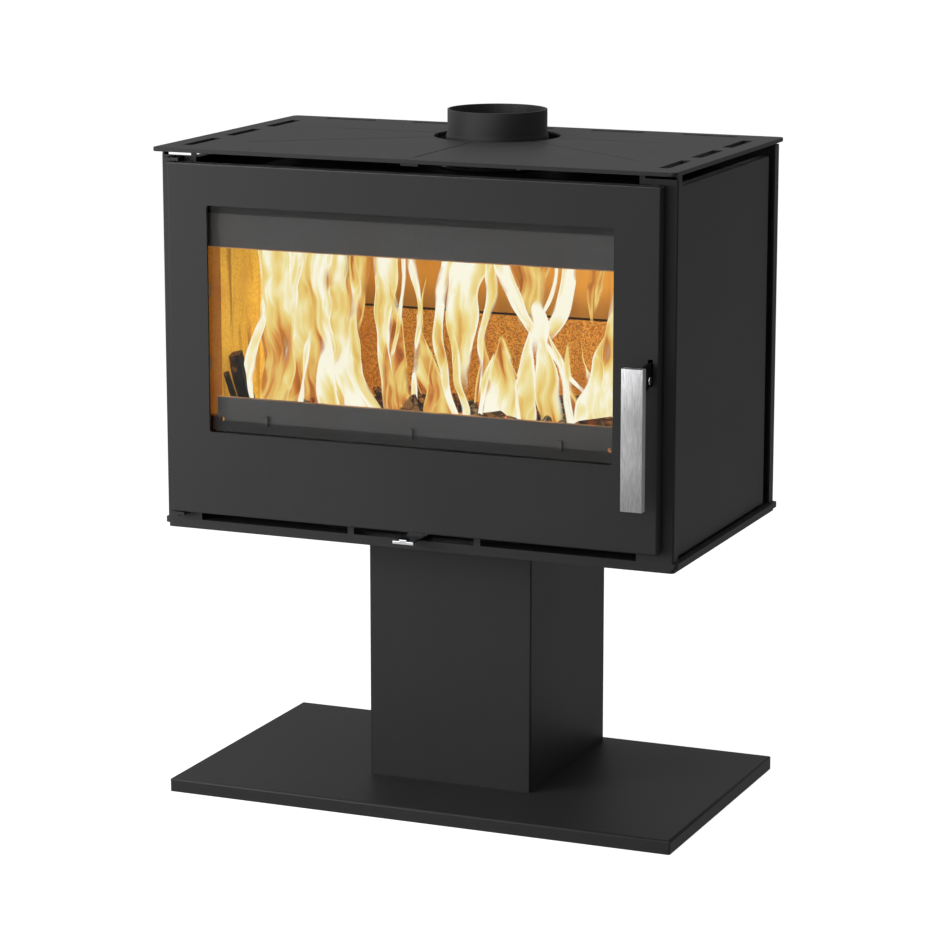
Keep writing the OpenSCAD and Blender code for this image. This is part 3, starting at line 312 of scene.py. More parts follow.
def coat_finish(coat, name="matt_coat", bends=(), painted_shade_below=None):
    """Matt sprayed paint: a fine dry grain, soft cloudy patches and a trace of dust. Each bend is an
    axis, the place where the sheet starts to turn away and the place of its outer edge, and gets a
    painted highlight along it. Below the given height the paint is painted near-black, a painted shade."""
    f = Finish(name)
    clouds = f.grain(coat.cloud, 4, 0.6, distortion=0.4)
    wipes = f.grain(0.05, 3, 0.6, f.stretch((1, 1, 0.16)))
    dry = f.grain(coat.grain, 2, 0.7)
    specks = f.span(f.cells(0.006), 0.10, 0.02)
    dusty = f.times_plus(f.span(clouds, 0.35, 0.75), 0.16, f.times(wipes, 0.10))
    dusty = f.times_plus(specks, 0.10, dusty)
    tone = f.blend(dusty, coat.paint, coat.dust)
    rough = f.times_plus(clouds, 0.10, coat.roughness - 0.06)
    rough = f.times_plus(dry, 0.06, rough)
    relief = f.bump(dry, 0.00002, f.bump(f.grain(0.03, 2), 0.0001))
    for axis, start, edge in bends:
        turned = f.span(f.axes()[axis], start, edge, smooth=False)
        fall = f.math("SQRT", f.math("SUBTRACT", 1.0, f.times(turned, turned)))
        relief = f.bump(fall, abs(edge - start), relief)
        # Painted highlight: a lighter colour along the outer part of each bend
        bend_highlight = f.times(f.span(turned, 0.0, 0.3), f.span(wipes, 0.3, 0.6, 0.6, 1.0))
        tone = f.blend(bend_highlight, tone, coat.wear_and_painted_highlight)
    # Painted shade: below this height, under the top plate, the paint is painted near-black
    if painted_shade_below is not None:
        tone = f.blend(f.span(f.axes()[2], painted_shade_below - MM, painted_shade_below), linear(6, 6, 6), tone)
    return f.surface(
        Base_Color=tone, Roughness=rough, Normal=relief, Specular_IOR_Level=0.16
    )


def hot_plate_finish(coat, fire, name, dark, clear, lip, side):
    """The coat beside the fire: dark from one height on and clear from the other and dark past its left
    side, as painted shade, and a painted glow of firelight along its lip."""
    f = Finish(name)
    x, _, z = f.axes()
    clouds = f.grain(coat.cloud, 3, 0.5)
    dry = f.grain(coat.grain, 2, 0.7)
    tone = f.blend(f.times(clouds, 0.3), coat.paint, coat.dust)
    shade = f.times(f.span(z, dark, clear, 0.12, 1.0), f.span(x, side - 0.4 * MM, side))
    tone = f.blend(shade, linear(10, 10, 10), tone)
    near = f.span(f.math("ABSOLUTE", f.math("SUBTRACT", z, lip)), 2.2 * MM, 0.4 * MM)
    warm = f.span(f.grain(0.03, 2), 0.3, 0.7, 0.25, 0.8)
    glow = f.blend(f.times(near, warm), (0, 0, 0), fire.fringe)
    return f.surface(
        Base_Color=tone, Roughness=f.times_plus(dry, 0.1, coat.roughness),
        Normal=f.bump(dry, 0.000006), Specular_IOR_Level=0.08,
        Emission_Color=glow, Emission_Strength=1.0,
    )


def inner_steel_finish(steel):
    """Heat-darkened steel with a bloom of straw and blue, and scale in fine patches."""
    f = Finish("inner_steel")
    patches = f.grain(0.09, 4, 0.65)
    scale = f.grain(0.004, 3, 0.7)
    tone = f.ramp(
        patches,
        [(0.25, scaled(steel.inner, 0.6)), (0.5, steel.inner), (0.72, linear(26, 22, 19))],
    )
    tone = f.blend(f.span(scale, 0.52, 0.7, 0, 0.5), tone, linear(12, 11, 10))
    rough = f.times_plus(scale, 0.3, 0.42)
    return f.surface(
        Base_Color=tone, Roughness=rough, Specular_IOR_Level=0.05, Normal=f.bump(scale, 0.0001)
    )


def zinc_finish(steel):
    """Zinc plating with a fine spangle and dull handling marks."""
    f = Finish("zinc_plate")
    bright = f.luminance(f.cells(0.0035, output="Color"))
    wear_and_painted_highlight = f.grain(0.012, 3, 0.6)
    tone = f.blend(f.times(bright, 0.3), steel.zinc, scaled(steel.zinc, 0.6))
    rough = f.times_plus(wear_and_painted_highlight, 0.25, 0.24)
    return f.surface(
        Base_Color=tone, Roughness=rough, Metallic=1.0, Normal=f.bump(wear_and_painted_highlight, 0.00006)
    )


def brushed_finish(steel):
    """Steel brushed along its length: long fine streaks in colour, gloss and relief."""
    f = Finish("brushed_steel")
    along = f.stretch((1, 1, 0.09))
    fine = f.grain(steel.streak, 3, 0.8, along)
    broad = f.grain(steel.streak * 5, 2, 0.6, along)
    streaks = f.times_plus(broad, 0.15, f.times(fine, 0.85))
    tone = f.ramp(
        streaks,
        [(0.3, scaled(steel.brushed, 0.7)), (0.5, steel.brushed), (0.7, scaled(steel.brushed, 1.25))],
    )
    rough = f.span(streaks, 0.3, 0.7, 0.55, 0.45)
    return f.surface(
        Base_Color=tone, Roughness=rough, Metallic=1.0, Normal=f.bump(streaks, 0.00005),
        Anisotropic=0.6,
    )


def chrome_finish(steel):
    """Bright chrome with a breath of fingerprints."""
    f = Finish("bright_chrome")
    smears = f.grain(0.006, 3, 0.6, distortion=1.5)
    tone = f.blend(f.span(smears, 0.4, 0.7, 0, 0.2), steel.chrome, scaled(steel.chrome, 0.7))
    return f.surface(
        Base_Color=tone, Roughness=f.span(smears, 0.3, 0.8, 0.06, 0.22), Metallic=1.0,
        Normal=f.bump(f.grain(0.002, 2), 0.00001),
    )


def iron_finish(steel):
    """Sand-cast iron: a pebbled skin with rust and ash in its hollows."""
    f = Finish("cast_iron")
    pebbles = f.grain(0.0022, 3, 0.7)
    rust = f.span(f.grain(0.03, 4, 0.65), 0.5, 0.68)
    tone = f.blend(f.times(rust, 0.6), steel.iron, linear(104, 64, 42))
    tone = f.blend(f.span(pebbles, 0.5, 0.3, 0, 0.5), tone, linear(120, 114, 106))
    return f.surface(
        Base_Color=tone, Roughness=f.span(pebbles, 0.3, 0.7, 0.85, 0.6), Metallic=0.2,
        Normal=f.bump(pebbles, 0.0004),
    )


def lining_finish(lining, name, board, speckle, streak, seam, lit=1.0):
    """Pressed mineral board in firelight. Speckle is how plainly its flecks show, streak how
    strongly the light runs up it, seam the height of the dark joint between two boards, and lit how
    much of the fire's glow it takes."""
    f = Finish(name)
    _, y, z = f.axes()
    fleck = f.luminance(f.cells(0.0018, output="Color"))
    pressed = f.grain(0.0025, 3, 0.7)
    patches = f.grain(0.12, 3, 0.5, f.stretch((1, 1, 0.8)))
    licks = f.grain(0.022, 3, 0.5, f.stretch((1, 1, 0.12)), distortion=0.6)
    under = f.span(z, seam + 0.5 * MM, seam - 0.5 * MM)
    coarse = f.times(under, speckle)
    tone = f.blend(f.times(f.span(fleck, 0.45, 0.62), coarse), board, lining.fleck)
    tone = f.blend(f.span(pressed, 0.5, 0.75, 0, 0.35), tone, linear(222, 178, 108))
    tone = f.blend(f.span(patches, 0.42, 0.72, 0, 0.5), tone, linear(160, 104, 54))
    tone = f.blend(f.times(f.span(licks, 0.5, 0.3), streak), tone, linear(120, 72, 32))
    shade = f.math("MAXIMUM", f.span(z, seam - MM, seam + 60 * MM, 0.55, 1.0), under)
    joint = f.span(f.math("ABSOLUTE", f.math("SUBTRACT", z, seam)), 1.2 * MM, 2.6 * MM, 0.06, 1.0)
    shade = f.times(shade, joint)
    # The front ends of the linings are darker: near black below a height and dimmer above it
    front = f.span(y, FRONT + 1.5 * MM, FRONT + 0.5 * MM)
    dimmed_tone = f.blend(f.span(z, FRONT_DARK_TOP - 8 * MM, FRONT_DARK_TOP), linear(30, 18, 10), linear(186, 150, 130))
    front_darkening = f.blend(front, (1, 1, 1), dimmed_tone)
    tone = f.blend(1.0, f.blend(shade, (0, 0, 0), tone), front_darkening, mode="MULTIPLY")
    glow = f.blend(1.0, tone, lining.glow, mode="MULTIPLY")
    relief = f.bump(pressed, 0.0002)
    return f.surface(
        Base_Color=tone, Roughness=0.92, Normal=relief, Specular_IOR_Level=0.1,
        Emission_Color=glow, Emission_Strength=lining.strength * lit,
    )


def rope_finish(rope):
    """Twisted glass yarn, greyed by smoke."""
    f = Finish("glass_rope")
    fibres = f.grain(0.0006, 3, 0.7, f.stretch((1, 1, 1), turn=(0, math.radians(45), 0)))
    smoke = f.grain(0.06, 3, 0.6)
    tone = f.blend(f.span(fibres, 0.35, 0.7), scaled(rope.yarn, 0.5), rope.yarn)
    tone = f.blend(f.span(smoke, 0.4, 0.7, 0, 0.6), tone, linear(44, 40, 36))
    return f.surface(
        Base_Color=tone, Roughness=0.95, Normal=f.bump(fibres, 0.0003), Specular_IOR_Level=0.1,
        Sheen_Weight=0.2,
    )


def tape_finish(rope):
    """Flat woven glass tape under the pane: a plain weave of warp and weft."""
    f = Finish("woven_tape")
    x, _, z = f.axes()
    thread = 1.6 * MM
    warp = f.math("SINE", f.times(x, math.tau / thread))
    weft = f.math("SINE", f.times(z, math.tau / thread))
    weave = f.span(f.times(warp, weft), -0.8, 0.8)
    fray = f.grain(0.004, 3)
    tone = f.blend(weave, scaled(rope.yarn, 0.45), scaled(rope.yarn, 1.3))
    tone = f.blend(f.span(fray, 0.5, 0.75, 0, 0.4), tone, linear(52, 48, 44))
    return f.surface(
        Base_Color=tone, Roughness=0.9, Normal=f.bump(weave, 0.0002), Specular_IOR_Level=0.1
    )


def pane_finish():
    """Clear ceramic glass with a faint film of smoke; lamps shine straight through it."""
    f = Finish("clear_pane")
    film = f.grain(0.07, 4, 0.6, f.stretch((1, 1, 0.5)))
    shader = f.node(
        "ShaderNodeBsdfPrincipled",
        {
            "Base Color": f.blend(f.span(film, 0.4, 0.8), (1, 1, 1), linear(250, 247, 241)),
            "Roughness": 0.0, "IOR": 1.3, "Transmission Weight": 1.0,
        },
    )
    clear = f.node("ShaderNodeBsdfTransparent", {"Color": (0.9, 0.9, 0.9, 1)})
    shadow = f.node("ShaderNodeLightPath").outputs["Is Shadow Ray"]
    both = f.node("ShaderNodeMixShader", {0: shadow, 1: shader.outputs[0], 2: clear.outputs[0]})
    return f.show(both.outputs[0])


def char_finish(fire):
    """Charred bark and split wood, drawn along the log's own grain, glowing in its cracks."""
    f = Finish("charred_log")
    local = f.attribute("grain")
    fibres = f.grain(0.004, 4, 0.7, f.stretch((1, 1, 0.12), local))
    plates = f.cells(0.016, f.stretch((1, 1, 0.45), local), feature="DISTANCE_TO_EDGE")
    burnt = f.grain(0.05, 4, 0.65, local)
    wood = f.blend(f.span(fibres, 0.35, 0.65), scaled(fire.wood, 0.45), fire.wood)
    char = f.blend(f.span(fibres, 0.4, 0.7), scaled(fire.bark, 0.45), scaled(fire.bark, 1.9))
    tone = f.blend(f.span(burnt, 0.4, 0.5), wood, char)
    crack = f.span(plates, 0.16, 0.02)
    tone = f.blend(f.times(crack, 0.8), tone, linear(10, 8, 7))
    ash = f.span(f.grain(0.012, 3, 0.6, local), 0.62, 0.72, 0, 0.45)
    tone = f.blend(ash, tone, linear(150, 144, 136))
    low = f.span(f.axes()[2], 0.60, 0.565)
    glow = f.times(f.times(crack, low), f.span(burnt, 0.45, 0.6))
    relief = f.bump(plates, 0.002, f.bump(fibres, 0.0012))
    return f.surface(
        Base_Color=tone, Roughness=0.85, Normal=relief, Specular_IOR_Level=0.2,
        Emission_Color=f.blend(glow, (0, 0, 0), fire.ember), Emission_Strength=1.0,
    )


def end_grain_finish(fire):
    """The sawn end of a log: growth rings, drying cracks and a burnt rim."""
    f = Finish("log_end")
    local = f.attribute("grain")
    x, y, _ = f.axes(local)
    out = f.math("SQRT", f.math("ADD", f.times(x, x), f.times(y, y)))
    wobble = f.times_plus(f.grain(0.02, 3, 0.6, local), 0.006, out)
    ring = 3.2 * MM
    rings = f.math("SINE", f.times(wobble, math.tau / ring))
    tone = f.blend(f.span(rings, -0.6, 0.8), scaled(fire.wood, 0.55), fire.wood)
    splits = f.cells(0.02, f.stretch((1, 1, 0.2), local), feature="DISTANCE_TO_EDGE")
    tone = f.blend(f.span(splits, 0.05, 0.01), tone, linear(30, 20, 14))
    burnt = f.span(f.times_plus(f.grain(0.015, 3, 0.6, local), 0.02, out), 0.030, 0.042)
    tone = f.blend(burnt, tone, fire.bark)
    return f.surface(
        Base_Color=tone, Roughness=0.85, Normal=f.bump(rings, 0.0003), Specular_IOR_Level=0.2
    )


def ember_finish(fire):
    """Coals: grey ash over black char, with orange heat in the cracks."""
    f = Finish("ember_bed")
    lumps = f.cells(0.014, feature="DISTANCE_TO_EDGE")
    fine = f.grain(0.006, 4, 0.7)
    ash = f.blend(f.span(fine, 0.4, 0.65), linear(36, 32, 30), linear(138, 130, 120))
    heat = f.times(f.span(lumps, 0.08, 0.0), f.span(f.grain(0.05, 3), 0.42, 0.62))
    heat = f.times(heat, f.span(f.grain(0.009, 3, 0.6), 0.42, 0.58))
    tone = f.blend(heat, ash, linear(60, 22, 10))
    stops = [(0.0, (0, 0, 0)), (0.4, scaled(fire.ember, 0.5)), (1.0, linear(255, 190, 90))]
    light = f.ramp(heat, stops)
    return f.surface(
        Base_Color=tone, Roughness=0.95, Normal=f.bump(fine, 0.002), Specular_IOR_Level=0.1,
        Emission_Color=light, Emission_Strength=1.0,
    )


def flame_finish(fire):
    """Burning gas. Its flow holds metres across a tongue, in from its edge and up it, and its heat
    runs from 0, a thin brown veil, to 1, a cream core. Each edge has a thin bright rim. Shown falls
    to 0 where a flame starts or ends in mid air."""
    f = Finish("flame")
    across, inward, up = f.axes(f.attribute("flow"))
    given = f.attribute("warmth", "Fac")
    drift = f.grain(0.045, 2, 0.45, f.stretch((1, 0.5, 1), f.vector(across, up)))
    swirl = f.math("SUBTRACT", drift, 0.5)
    lanes = f.vector(f.times_plus(swirl, 0.05, across), up)
    streaks = f.grain(0.014, 2, 0.4, f.stretch((1, 0.10, 1), lanes))
    folds = f.grain(0.020, 1, 0.4, f.stretch((1, 0.16, 1), lanes, shift=(0.3, 0, 0)))
    crease = f.math("SUBTRACT", 1.0, f.math("ABSOLUTE", f.times_plus(folds, 2, -1)))
    crease = f.math("POWER", crease, 24.0)
    stir = f.times_plus(f.math("SUBTRACT", streaks, 0.5), 1.3, f.times(swirl, 1.6))
    stir = f.times(stir, f.span(given, 0.1, 0.6, 0.5, 1.0))
    heat = f.math("ADD", stir, f.math("SUBTRACT", given, fire.cool))
    heat = f.times_plus(crease, 0.14, heat)
    seen = f.span(heat, -0.3, 0.3)
    rim = f.times(f.span(inward, 0.3 * MM, 1.4 * MM), f.span(inward, 4.5 * MM, 1.6 * MM))
    rim = f.times(rim, f.span(given, 0.2, 0.6))
    heat = f.times_plus(rim, 0.24, heat)
    tone = f.ramp(
        heat,
        [
            (0.0, fire.deep), (0.12, fire.fold), (0.25, fire.fringe), (0.4, linear(228, 188, 102)),
            (0.55, fire.body), (0.75, linear(243, 230, 170)), (0.95, fire.core),
        ],
        smooth=False,
    )
    soft = f.span(drift, 0.5, 0.68, 1.6 * MM, 12 * MM)
    skin = f.times(f.span(inward, 0.0, soft), f.span(f.attribute("shown", "Fac"), 0.0, 1.0))
    veil = f.times_plus(rim, 0.25, seen)
    f.owner.cycles.emission_sampling = "NONE"
    return f.surface(
        Base_Color=(0, 0, 0), Roughness=1.0, Specular_IOR_Level=0.0, Emission_Color=tone,
        Emission_Strength=1.0, Alpha=f.math("MINIMUM", 1.0, f.times(skin, veil)),
    )


# ---------------------------------------------------------------- pieces


def put_in_scene(name, data):
    """A new object in the scene, for a mesh, a lamp or a camera."""
    made = bpy.data.objects.new(name, data)
    bpy.context.scene.collection.objects.link(made)
    return made


def finished_mesh(name, bm, finishes):
    """A new object of bm, which is used up, with its finishes."""
    mesh = bpy.data.meshes.new(name)
    bm.to_mesh(mesh)
    bm.free()
    for finish in finishes:
        mesh.materials.append(finish)
    return put_in_scene(name, mesh)


def piece(name, bm, finishes, body, stands_for=(), smooth=True):
    """Makes a finished object of bm, which rides on a body of the frame."""
    for face in bm.faces:
        face.smooth = smooth
    made = finished_mesh(name, bm, finishes)
    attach(made, body)
    if stands_for:
        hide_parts(*stands_for)
    return made


def soften(node, radius):
    """Rounds a carried-over node's sharp edges a little, so that they catch the light."""
    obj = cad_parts[node]
    weld = obj.modifiers.new("merge", "WELD")
    weld.merge_threshold = 1e-6
    flat = obj.modifiers.new("flatten", "DECIMATE")
    flat.decimate_type = "DISSOLVE"
    flat.angle_limit = math.radians(0.5)
    bevel = obj.modifiers.new("edges", "BEVEL")
    bevel.width = radius
    bevel.segments = 2
    bevel.limit_method = "ANGLE"
    bevel.angle_limit = SHARP
    bevel.harden_normals = True


def dress(nodes, finish, radius=0.0):
    """Gives carried-over nodes their finish, and rounded edges where they show."""
    for node in nodes:
        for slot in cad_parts[node].material_slots:
            slot.link = "OBJECT"
            slot.material = finish
        if radius:
            soften(node, radius)


def corners(node):
    """A node's lowest corner, highest corner, middle and size."""
    low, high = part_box(node)
    return low, high, (low + high) / 2, high - low


def round_edges(bm, radius):
    """Rounds each sharp edge."""
    sharp = [e for e in bm.edges if e.is_manifold and e.calc_face_angle() > SHARP]
    bmesh.ops.bevel(
        bm, geom=sharp, offset=radius, segments=3, profile=0.5, affect="EDGES", material=-1
    )


def slice_through(bm, point, normal, **settings):
    """Cuts all that bm holds along the plane through a point."""
    return bmesh.ops.bisect_plane(
        bm, geom=bm.verts[:] + bm.edges[:] + bm.faces[:], plane_co=point, plane_no=normal, **settings
    )


def part_way(pair, way):
    """The value that lies a share of the way from the first of a pair to the second."""
    return pair[0] + (pair[1] - pair[0]) * way


# ---------------------------------------------------------------- operators

# Where the front row of flames stands, and the sideways and upward shift, for each step back, of
# what lies in line with it seen from the front right
FRONT_ROW = -120
SIGHT = (-0.42, -0.228)
# Heights below which a flame stands on the hearth and above which it runs on up to the baffle, the
# height where such a flame starts to thin, and how far a standing foot reaches down among the logs
HEARTH, CROWN, THINS, ROOT = 612, 815, 826, 26

# The nodes that take each finish
COATED = (
    "base_plate", "column_shell", "column_rear_cover", "lower_tray", "bottom_plate", "front_frame",
    "rear_panel", "top_plate", "hinge_brackets",
)
INNER = (
    "base_bottom", "column_foot", "column_head", "panel_spacers", "firebox_left", "firebox_right",
    "firebox_rear", "firebox_roof", "ash_floor", "ash_pan", "brick_rails", "air_duct",
    "strike_bracket", "door_frame", "handle_bearing", "handle_lever", "hinge_pins", "hinge_washer",
    "hinge_bushes",
)
PLATED = (
    "column_cover_screws", "column_foot_bolts", "column_head_bolts", "rear_panel_screws", "flue_bolts",
    "clip_screws", "guard_screws", "handle_screws", "air_spigot", "air_slide", "strike_pin",
    "glass_clips",
)
REAR_BOARDS = ("lining_rear_lower", "lining_rear_upper")
SIDE_BOARDS = ("floor_bricks", "lining_left", "lining_right")


class STOVE_OT_sheet_metal(Operator):
    """Paints the casing, door, column and base"""

    bl_idname = "stove.sheet_metal"
    bl_label = "Sheet Metal"

    def execute(self, context):
        coat, fire = context.scene.stove_coat, context.scene.stove_fire
        low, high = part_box("side_panel_right")
        side_bends = [(2, high.z - coat.bend, high.z), (1, low.y + coat.bend, low.y)]
        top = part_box("door_skin")[1].z
        door_bends = [(2, top - coat.bend, top)]
        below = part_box("top_plate")[0].z
        for nodes, finish in (
            (COATED, coat_finish(coat)),
            # The spigot is painted near-black below the top plate's underside, as painted shade
            (["flue_spigot"], coat_finish(coat, "spigot_coat", painted_shade_below=below)),
            (["door_skin"], coat_finish(coat, "door_coat", door_bends)),
            (["side_panel_left", "side_panel_right"], coat_finish(coat, "side_coat", side_bends)),
        ):
            dress(nodes, finish, coat.edge)
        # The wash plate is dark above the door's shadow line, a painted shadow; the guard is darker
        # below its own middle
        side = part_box("glass")[0].x + MM
        low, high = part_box("air_wash_plate")
        shadow = high.z - 29 * MM
        blur = 0.3 * MM
        wash = hot_plate_finish(
            coat, fire, "wash_plate_coat", shadow + blur, shadow - blur, low.z, side
        )
        dress(["air_wash_plate"], wash, coat.edge)
        _, high, middle, _ = corners("log_guard")
        guard = hot_plate_finish(
            coat, fire, "guard_coat", middle.z - 2 * MM, middle.z, high.z, side
        )
        dress(["log_guard"], guard, coat.edge)
        return {"FINISHED"}


class STOVE_OT_inner_steel(Operator):
    """Finishes the firebox shell and the other dark steel"""

    bl_idname = "stove.inner_steel"
    bl_label = "Inner Steel"

    def execute(self, context):
        dress(INNER, inner_steel_finish(context.scene.stove_steel))
        return {"FINISHED"}


class STOVE_OT_fasteners(Operator):
    """Finishes the plated screws, pins and air parts"""

    bl_idname = "stove.fasteners"
    bl_label = "Fasteners and Plated Parts"

    def execute(self, context):
        dress(PLATED, zinc_finish(context.scene.stove_steel))
        return {"FINISHED"}


class STOVE_OT_grate(Operator):
    """Finishes the cast grate"""

    bl_idname = "stove.grate"
    bl_label = "Grate"

    def execute(self, context):
        dress(["grate"], iron_finish(context.scene.stove_steel), 1.2 * MM)
        return {"FINISHED"}


class STOVE_OT_lining(Operator):
    """Finishes the pressed boards round the fire"""

    bl_idname = "stove.lining"
    bl_label = "Lining"

    def execute(self, context):
        lining = context.scene.stove_lining
        low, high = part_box("lining_rear_upper")
        dimmed_tone = scaled(lining.board, 0.35)
        rear = lining_finish(lining, "rear_board", lining.board, 1.0, 0.25, low.z - MM)
        # The side boards take a stronger painted glow of firelight
        side = lining_finish(lining, "side_board", lining.side, 0.3, 0.7, high.z, 1.3)
        dress(REAR_BOARDS, rear, 0.8 * MM)
        dress(SIDE_BOARDS, side, 1.5 * MM)
        baffle = lining_finish(lining, "smoked_board", dimmed_tone, 0.3, 0.3, high.z, 0.1)
        dress(["baffle"], baffle, 1.5 * MM)
        return {"FINISHED"}


class STOVE_OT_glazing(Operator):
    """Finishes the pane and the tape it sits on"""

    bl_idname = "stove.glazing"
    bl_label = "Glazing"

    def execute(self, context):
        dress(["glass"], pane_finish())
        dress(["glass_tape"], tape_finish(context.scene.stove_rope))
        return {"FINISHED"}


class STOVE_OT_door_rope(Operator):
    """Lays the twisted rope in the back of the door"""

    bl_idname = "stove.door_rope"
    bl_label = "Door Rope"

    def execute(self, context):
        rope = context.scene.stove_rope
        _, _, middle, size = corners("door_gasket")
        # The rope's width on the door, the radius of its corners and that of a strand
        width, radius, strand = 12 * MM, 14 * MM, size.y * 0.34
        swing = Vector((width / 2 - strand, size.y / 2 - strand))
        half_x, half_z = (size.x - width) / 2, (size.z - width) / 2
        straight = [2 * (half_x - radius), 2 * (half_z - radius)]
        bend = radius * math.pi / 2
        total = 2 * sum(straight) + 4 * bend
        turns = round(total / rope.lay)
        steps = turns * 8
        bm = bmesh.new()
        for number in range(rope.strands):
            made = bmesh.ops.create_grid(bm, x_segments=6, y_segments=steps, size=0.5)["verts"]
            for v in made:
                round_it, gone = (v.co.x + 0.5) * math.tau, (v.co.y + 0.5) % 1
                point, out = self.course(total * gone, half_x, half_z, radius, straight, bend)
                angle = math.tau * (turns * gone + number / rope.strands)
                sideways = swing.x * math.cos(angle) + strand * math.cos(round_it)
                depth = swing.y * math.sin(angle) + strand * math.sin(round_it)
                spot = point + out * sideways
                v.co = Vector((middle.x + spot.x, middle.y + depth, middle.z + spot.y))
            bmesh.ops.remove_doubles(bm, verts=made, dist=1e-5)
        bmesh.ops.recalc_face_normals(bm, faces=bm.faces)
        piece("door_rope", bm, [rope_finish(rope)], "door", ["door_gasket"])
        return {"FINISHED"}

    @staticmethod
    def course(gone, half_x, half_z, radius, straight, bend):
        """Point and outward direction after a length along the rounded rectangle, anticlockwise."""
        lengths = (straight[1], bend, straight[0], bend) * 2
        centres = ((1, 1), (-1, 1), (-1, -1), (1, -1))
        last = len(lengths) - 1
        for index, stretch in enumerate(lengths):
            quarter = index // 2
            if gone <= stretch or index == last:
                break
            gone -= stretch
        base = quarter * math.pi / 2
        out = Vector((math.cos(base), math.sin(base)))
        ahead = Vector((-out.y, out.x))
        if index % 2 == 0:
            reach = half_x if quarter % 2 == 0 else half_z
            return out * reach + ahead * (gone - stretch / 2), out
        angle = base + math.pi / 2 * gone / bend
        sign_x, sign_z = centres[quarter]
        centre = Vector((sign_x * (half_x - radius), sign_z * (half_z - radius)))
        out = Vector((math.cos(angle), math.sin(angle)))
        return centre + out * radius, out


class STOVE_OT_handle(Operator):
    """Makes the brushed handle bar"""

    bl_idname = "stove.handle"
    bl_label = "Handle"

    def execute(self, context):
        low, _, middle, size = corners("handle_bar")
        bm = bmesh.new()
        bmesh.ops.create_cube(bm, size=1)
        bmesh.ops.scale(bm, vec=size, verts=bm.verts)
        bmesh.ops.translate(bm, vec=middle, verts=bm.verts)
        for way_up in (0.33, 0.67):
            slice_through(bm, (0, 0, low.z + size.z * way_up), (0, 0, 1))
        round_edges(bm, 0.7 * MM)
        finish = brushed_finish(context.scene.stove_steel)
        piece("brushed_bar", bm, [finish], "handle", ["handle_bar"])
        return {"FINISHED"}


class STOVE_OT_air_knob(Operator):
    """Finishes the air control's knob and the pivot pin"""

    bl_idname = "stove.air_knob"
    bl_label = "Air Knob"

    def execute(self, context):
        chrome = chrome_finish(context.scene.stove_steel)
        dress(["air_knob"], chrome, 0.8 * MM)
        dress(["pivot_pin"], chrome, 0.3 * MM)
        return {"FINISHED"}


class STOVE_OT_logs(Operator):
    """Stacks the split logs on the hearth"""

    bl_idname = "stove.logs"
    bl_label = "Logs"

    # foot, tip, radius and the turn of the split face, in millimetres and degrees
    stack = (
        ((-285, -160, 575), (-300, -185, 675), 18, 40),
        ((-290, -190, 575), (-305, -210, 650), 7, 70),
        ((-35, 40, 575), (-50, -110, 600), 35, 35),
        ((85, 40, 570), (60, -115, 585), 28, 60),
        ((235, 30, 570), (195, -100, 580), 25, 120),
        ((-230, 20, 565), (-90, 60, 570), 25, 20),
        ((10, 60, 570), (140, 90, 570), 25, 150),
        ((-240, -20, 565), (-120, -60, 575), 25, 75),
    )

    def execute(self, context):
        fire = context.scene.stove_fire
        bm = bmesh.new()
        joined = bpy.data.meshes.new("log")
        for number, (foot, tip, radius, turn) in enumerate(self.stack):
            log = self.log(Vector(foot) * MM, Vector(tip) * MM, radius * MM, turn, number)
            log.to_mesh(joined)
            log.free()
            bm.from_mesh(joined)
        bpy.data.meshes.remove(joined)
        piece("logs", bm, [char_finish(fire), end_grain_finish(fire)], "root")
        return {"FINISHED"}

    @staticmethod
    def log(foot, tip, radius, turn, number):
        """One split log: a round log cut down its length by two planes, then roughened."""
        reach = (tip - foot).length
        bm = bmesh.new()
        grain = bm.verts.layers.float_vector.new("grain")
        bmesh.ops.create_cone(
            bm, segments=32, radius1=radius, radius2=radius * 0.94, depth=reach, cap_ends=True
        )
        # Each split face: its turn, and its distance from the axis as a share of the radius
        for degrees, offset in ((turn, 0.25), (turn + 105, 0.35)):
            side = Vector((math.cos(math.radians(degrees)), math.sin(math.radians(degrees)), 0))
            cut = slice_through(bm, side * radius * offset, side, clear_outer=True)
            rim = [e for e in cut["geom_cut"] if isinstance(e, bmesh.types.BMEdge)]
            bmesh.ops.holes_fill(bm, edges=rim)
        # Slices along and across, so that there are points to roughen
        lengths, rings = 24, 4
        for step in range(1, lengths):
            slice_through(bm, (0, 0, reach * (step / lengths - 0.5)), (0, 0, 1))
        for step in range(rings):
            for axis in ((1, 0, 0), (0, 1, 0)):
                for sign in (-1, 1):
                    out = (step + 0.5) / (rings + 0.5)
                    slice_through(bm, Vector(axis) * sign * radius * out, axis)
        bmesh.ops.triangulate(bm, faces=[f for f in bm.faces if len(f.verts) > 4])
        for v in bm.verts:
            v[grain] = v.co + Vector((0, 0, number * 1.7))
        for face in bm.faces:
            face.material_index = 1 if abs(face.normal.z) > 0.9 else 0
        for v in bm.verts:
            place = Vector((v.co.x * 60, v.co.y * 60, v.co.z * 9 + number * 31))
            fine = Vector((v.co.x * 260, v.co.y * 260, v.co.z * 34 + number * 17))
            flat = Vector((v.co.x, v.co.y, 0))
            v.co += flat * (noise.noise(place) * 0.16 + noise.noise(fine) * 0.07)
            v.co.z += noise.noise(place + Vector((9, 9, 9))) * radius * 0.12
        bend = (tip - foot).to_track_quat("Z", "Y").to_matrix().to_4x4()
        bmesh.ops.transform(bm, matrix=Matrix.Translation((foot + tip) / 2) @ bend, verts=bm.verts)
        return bm


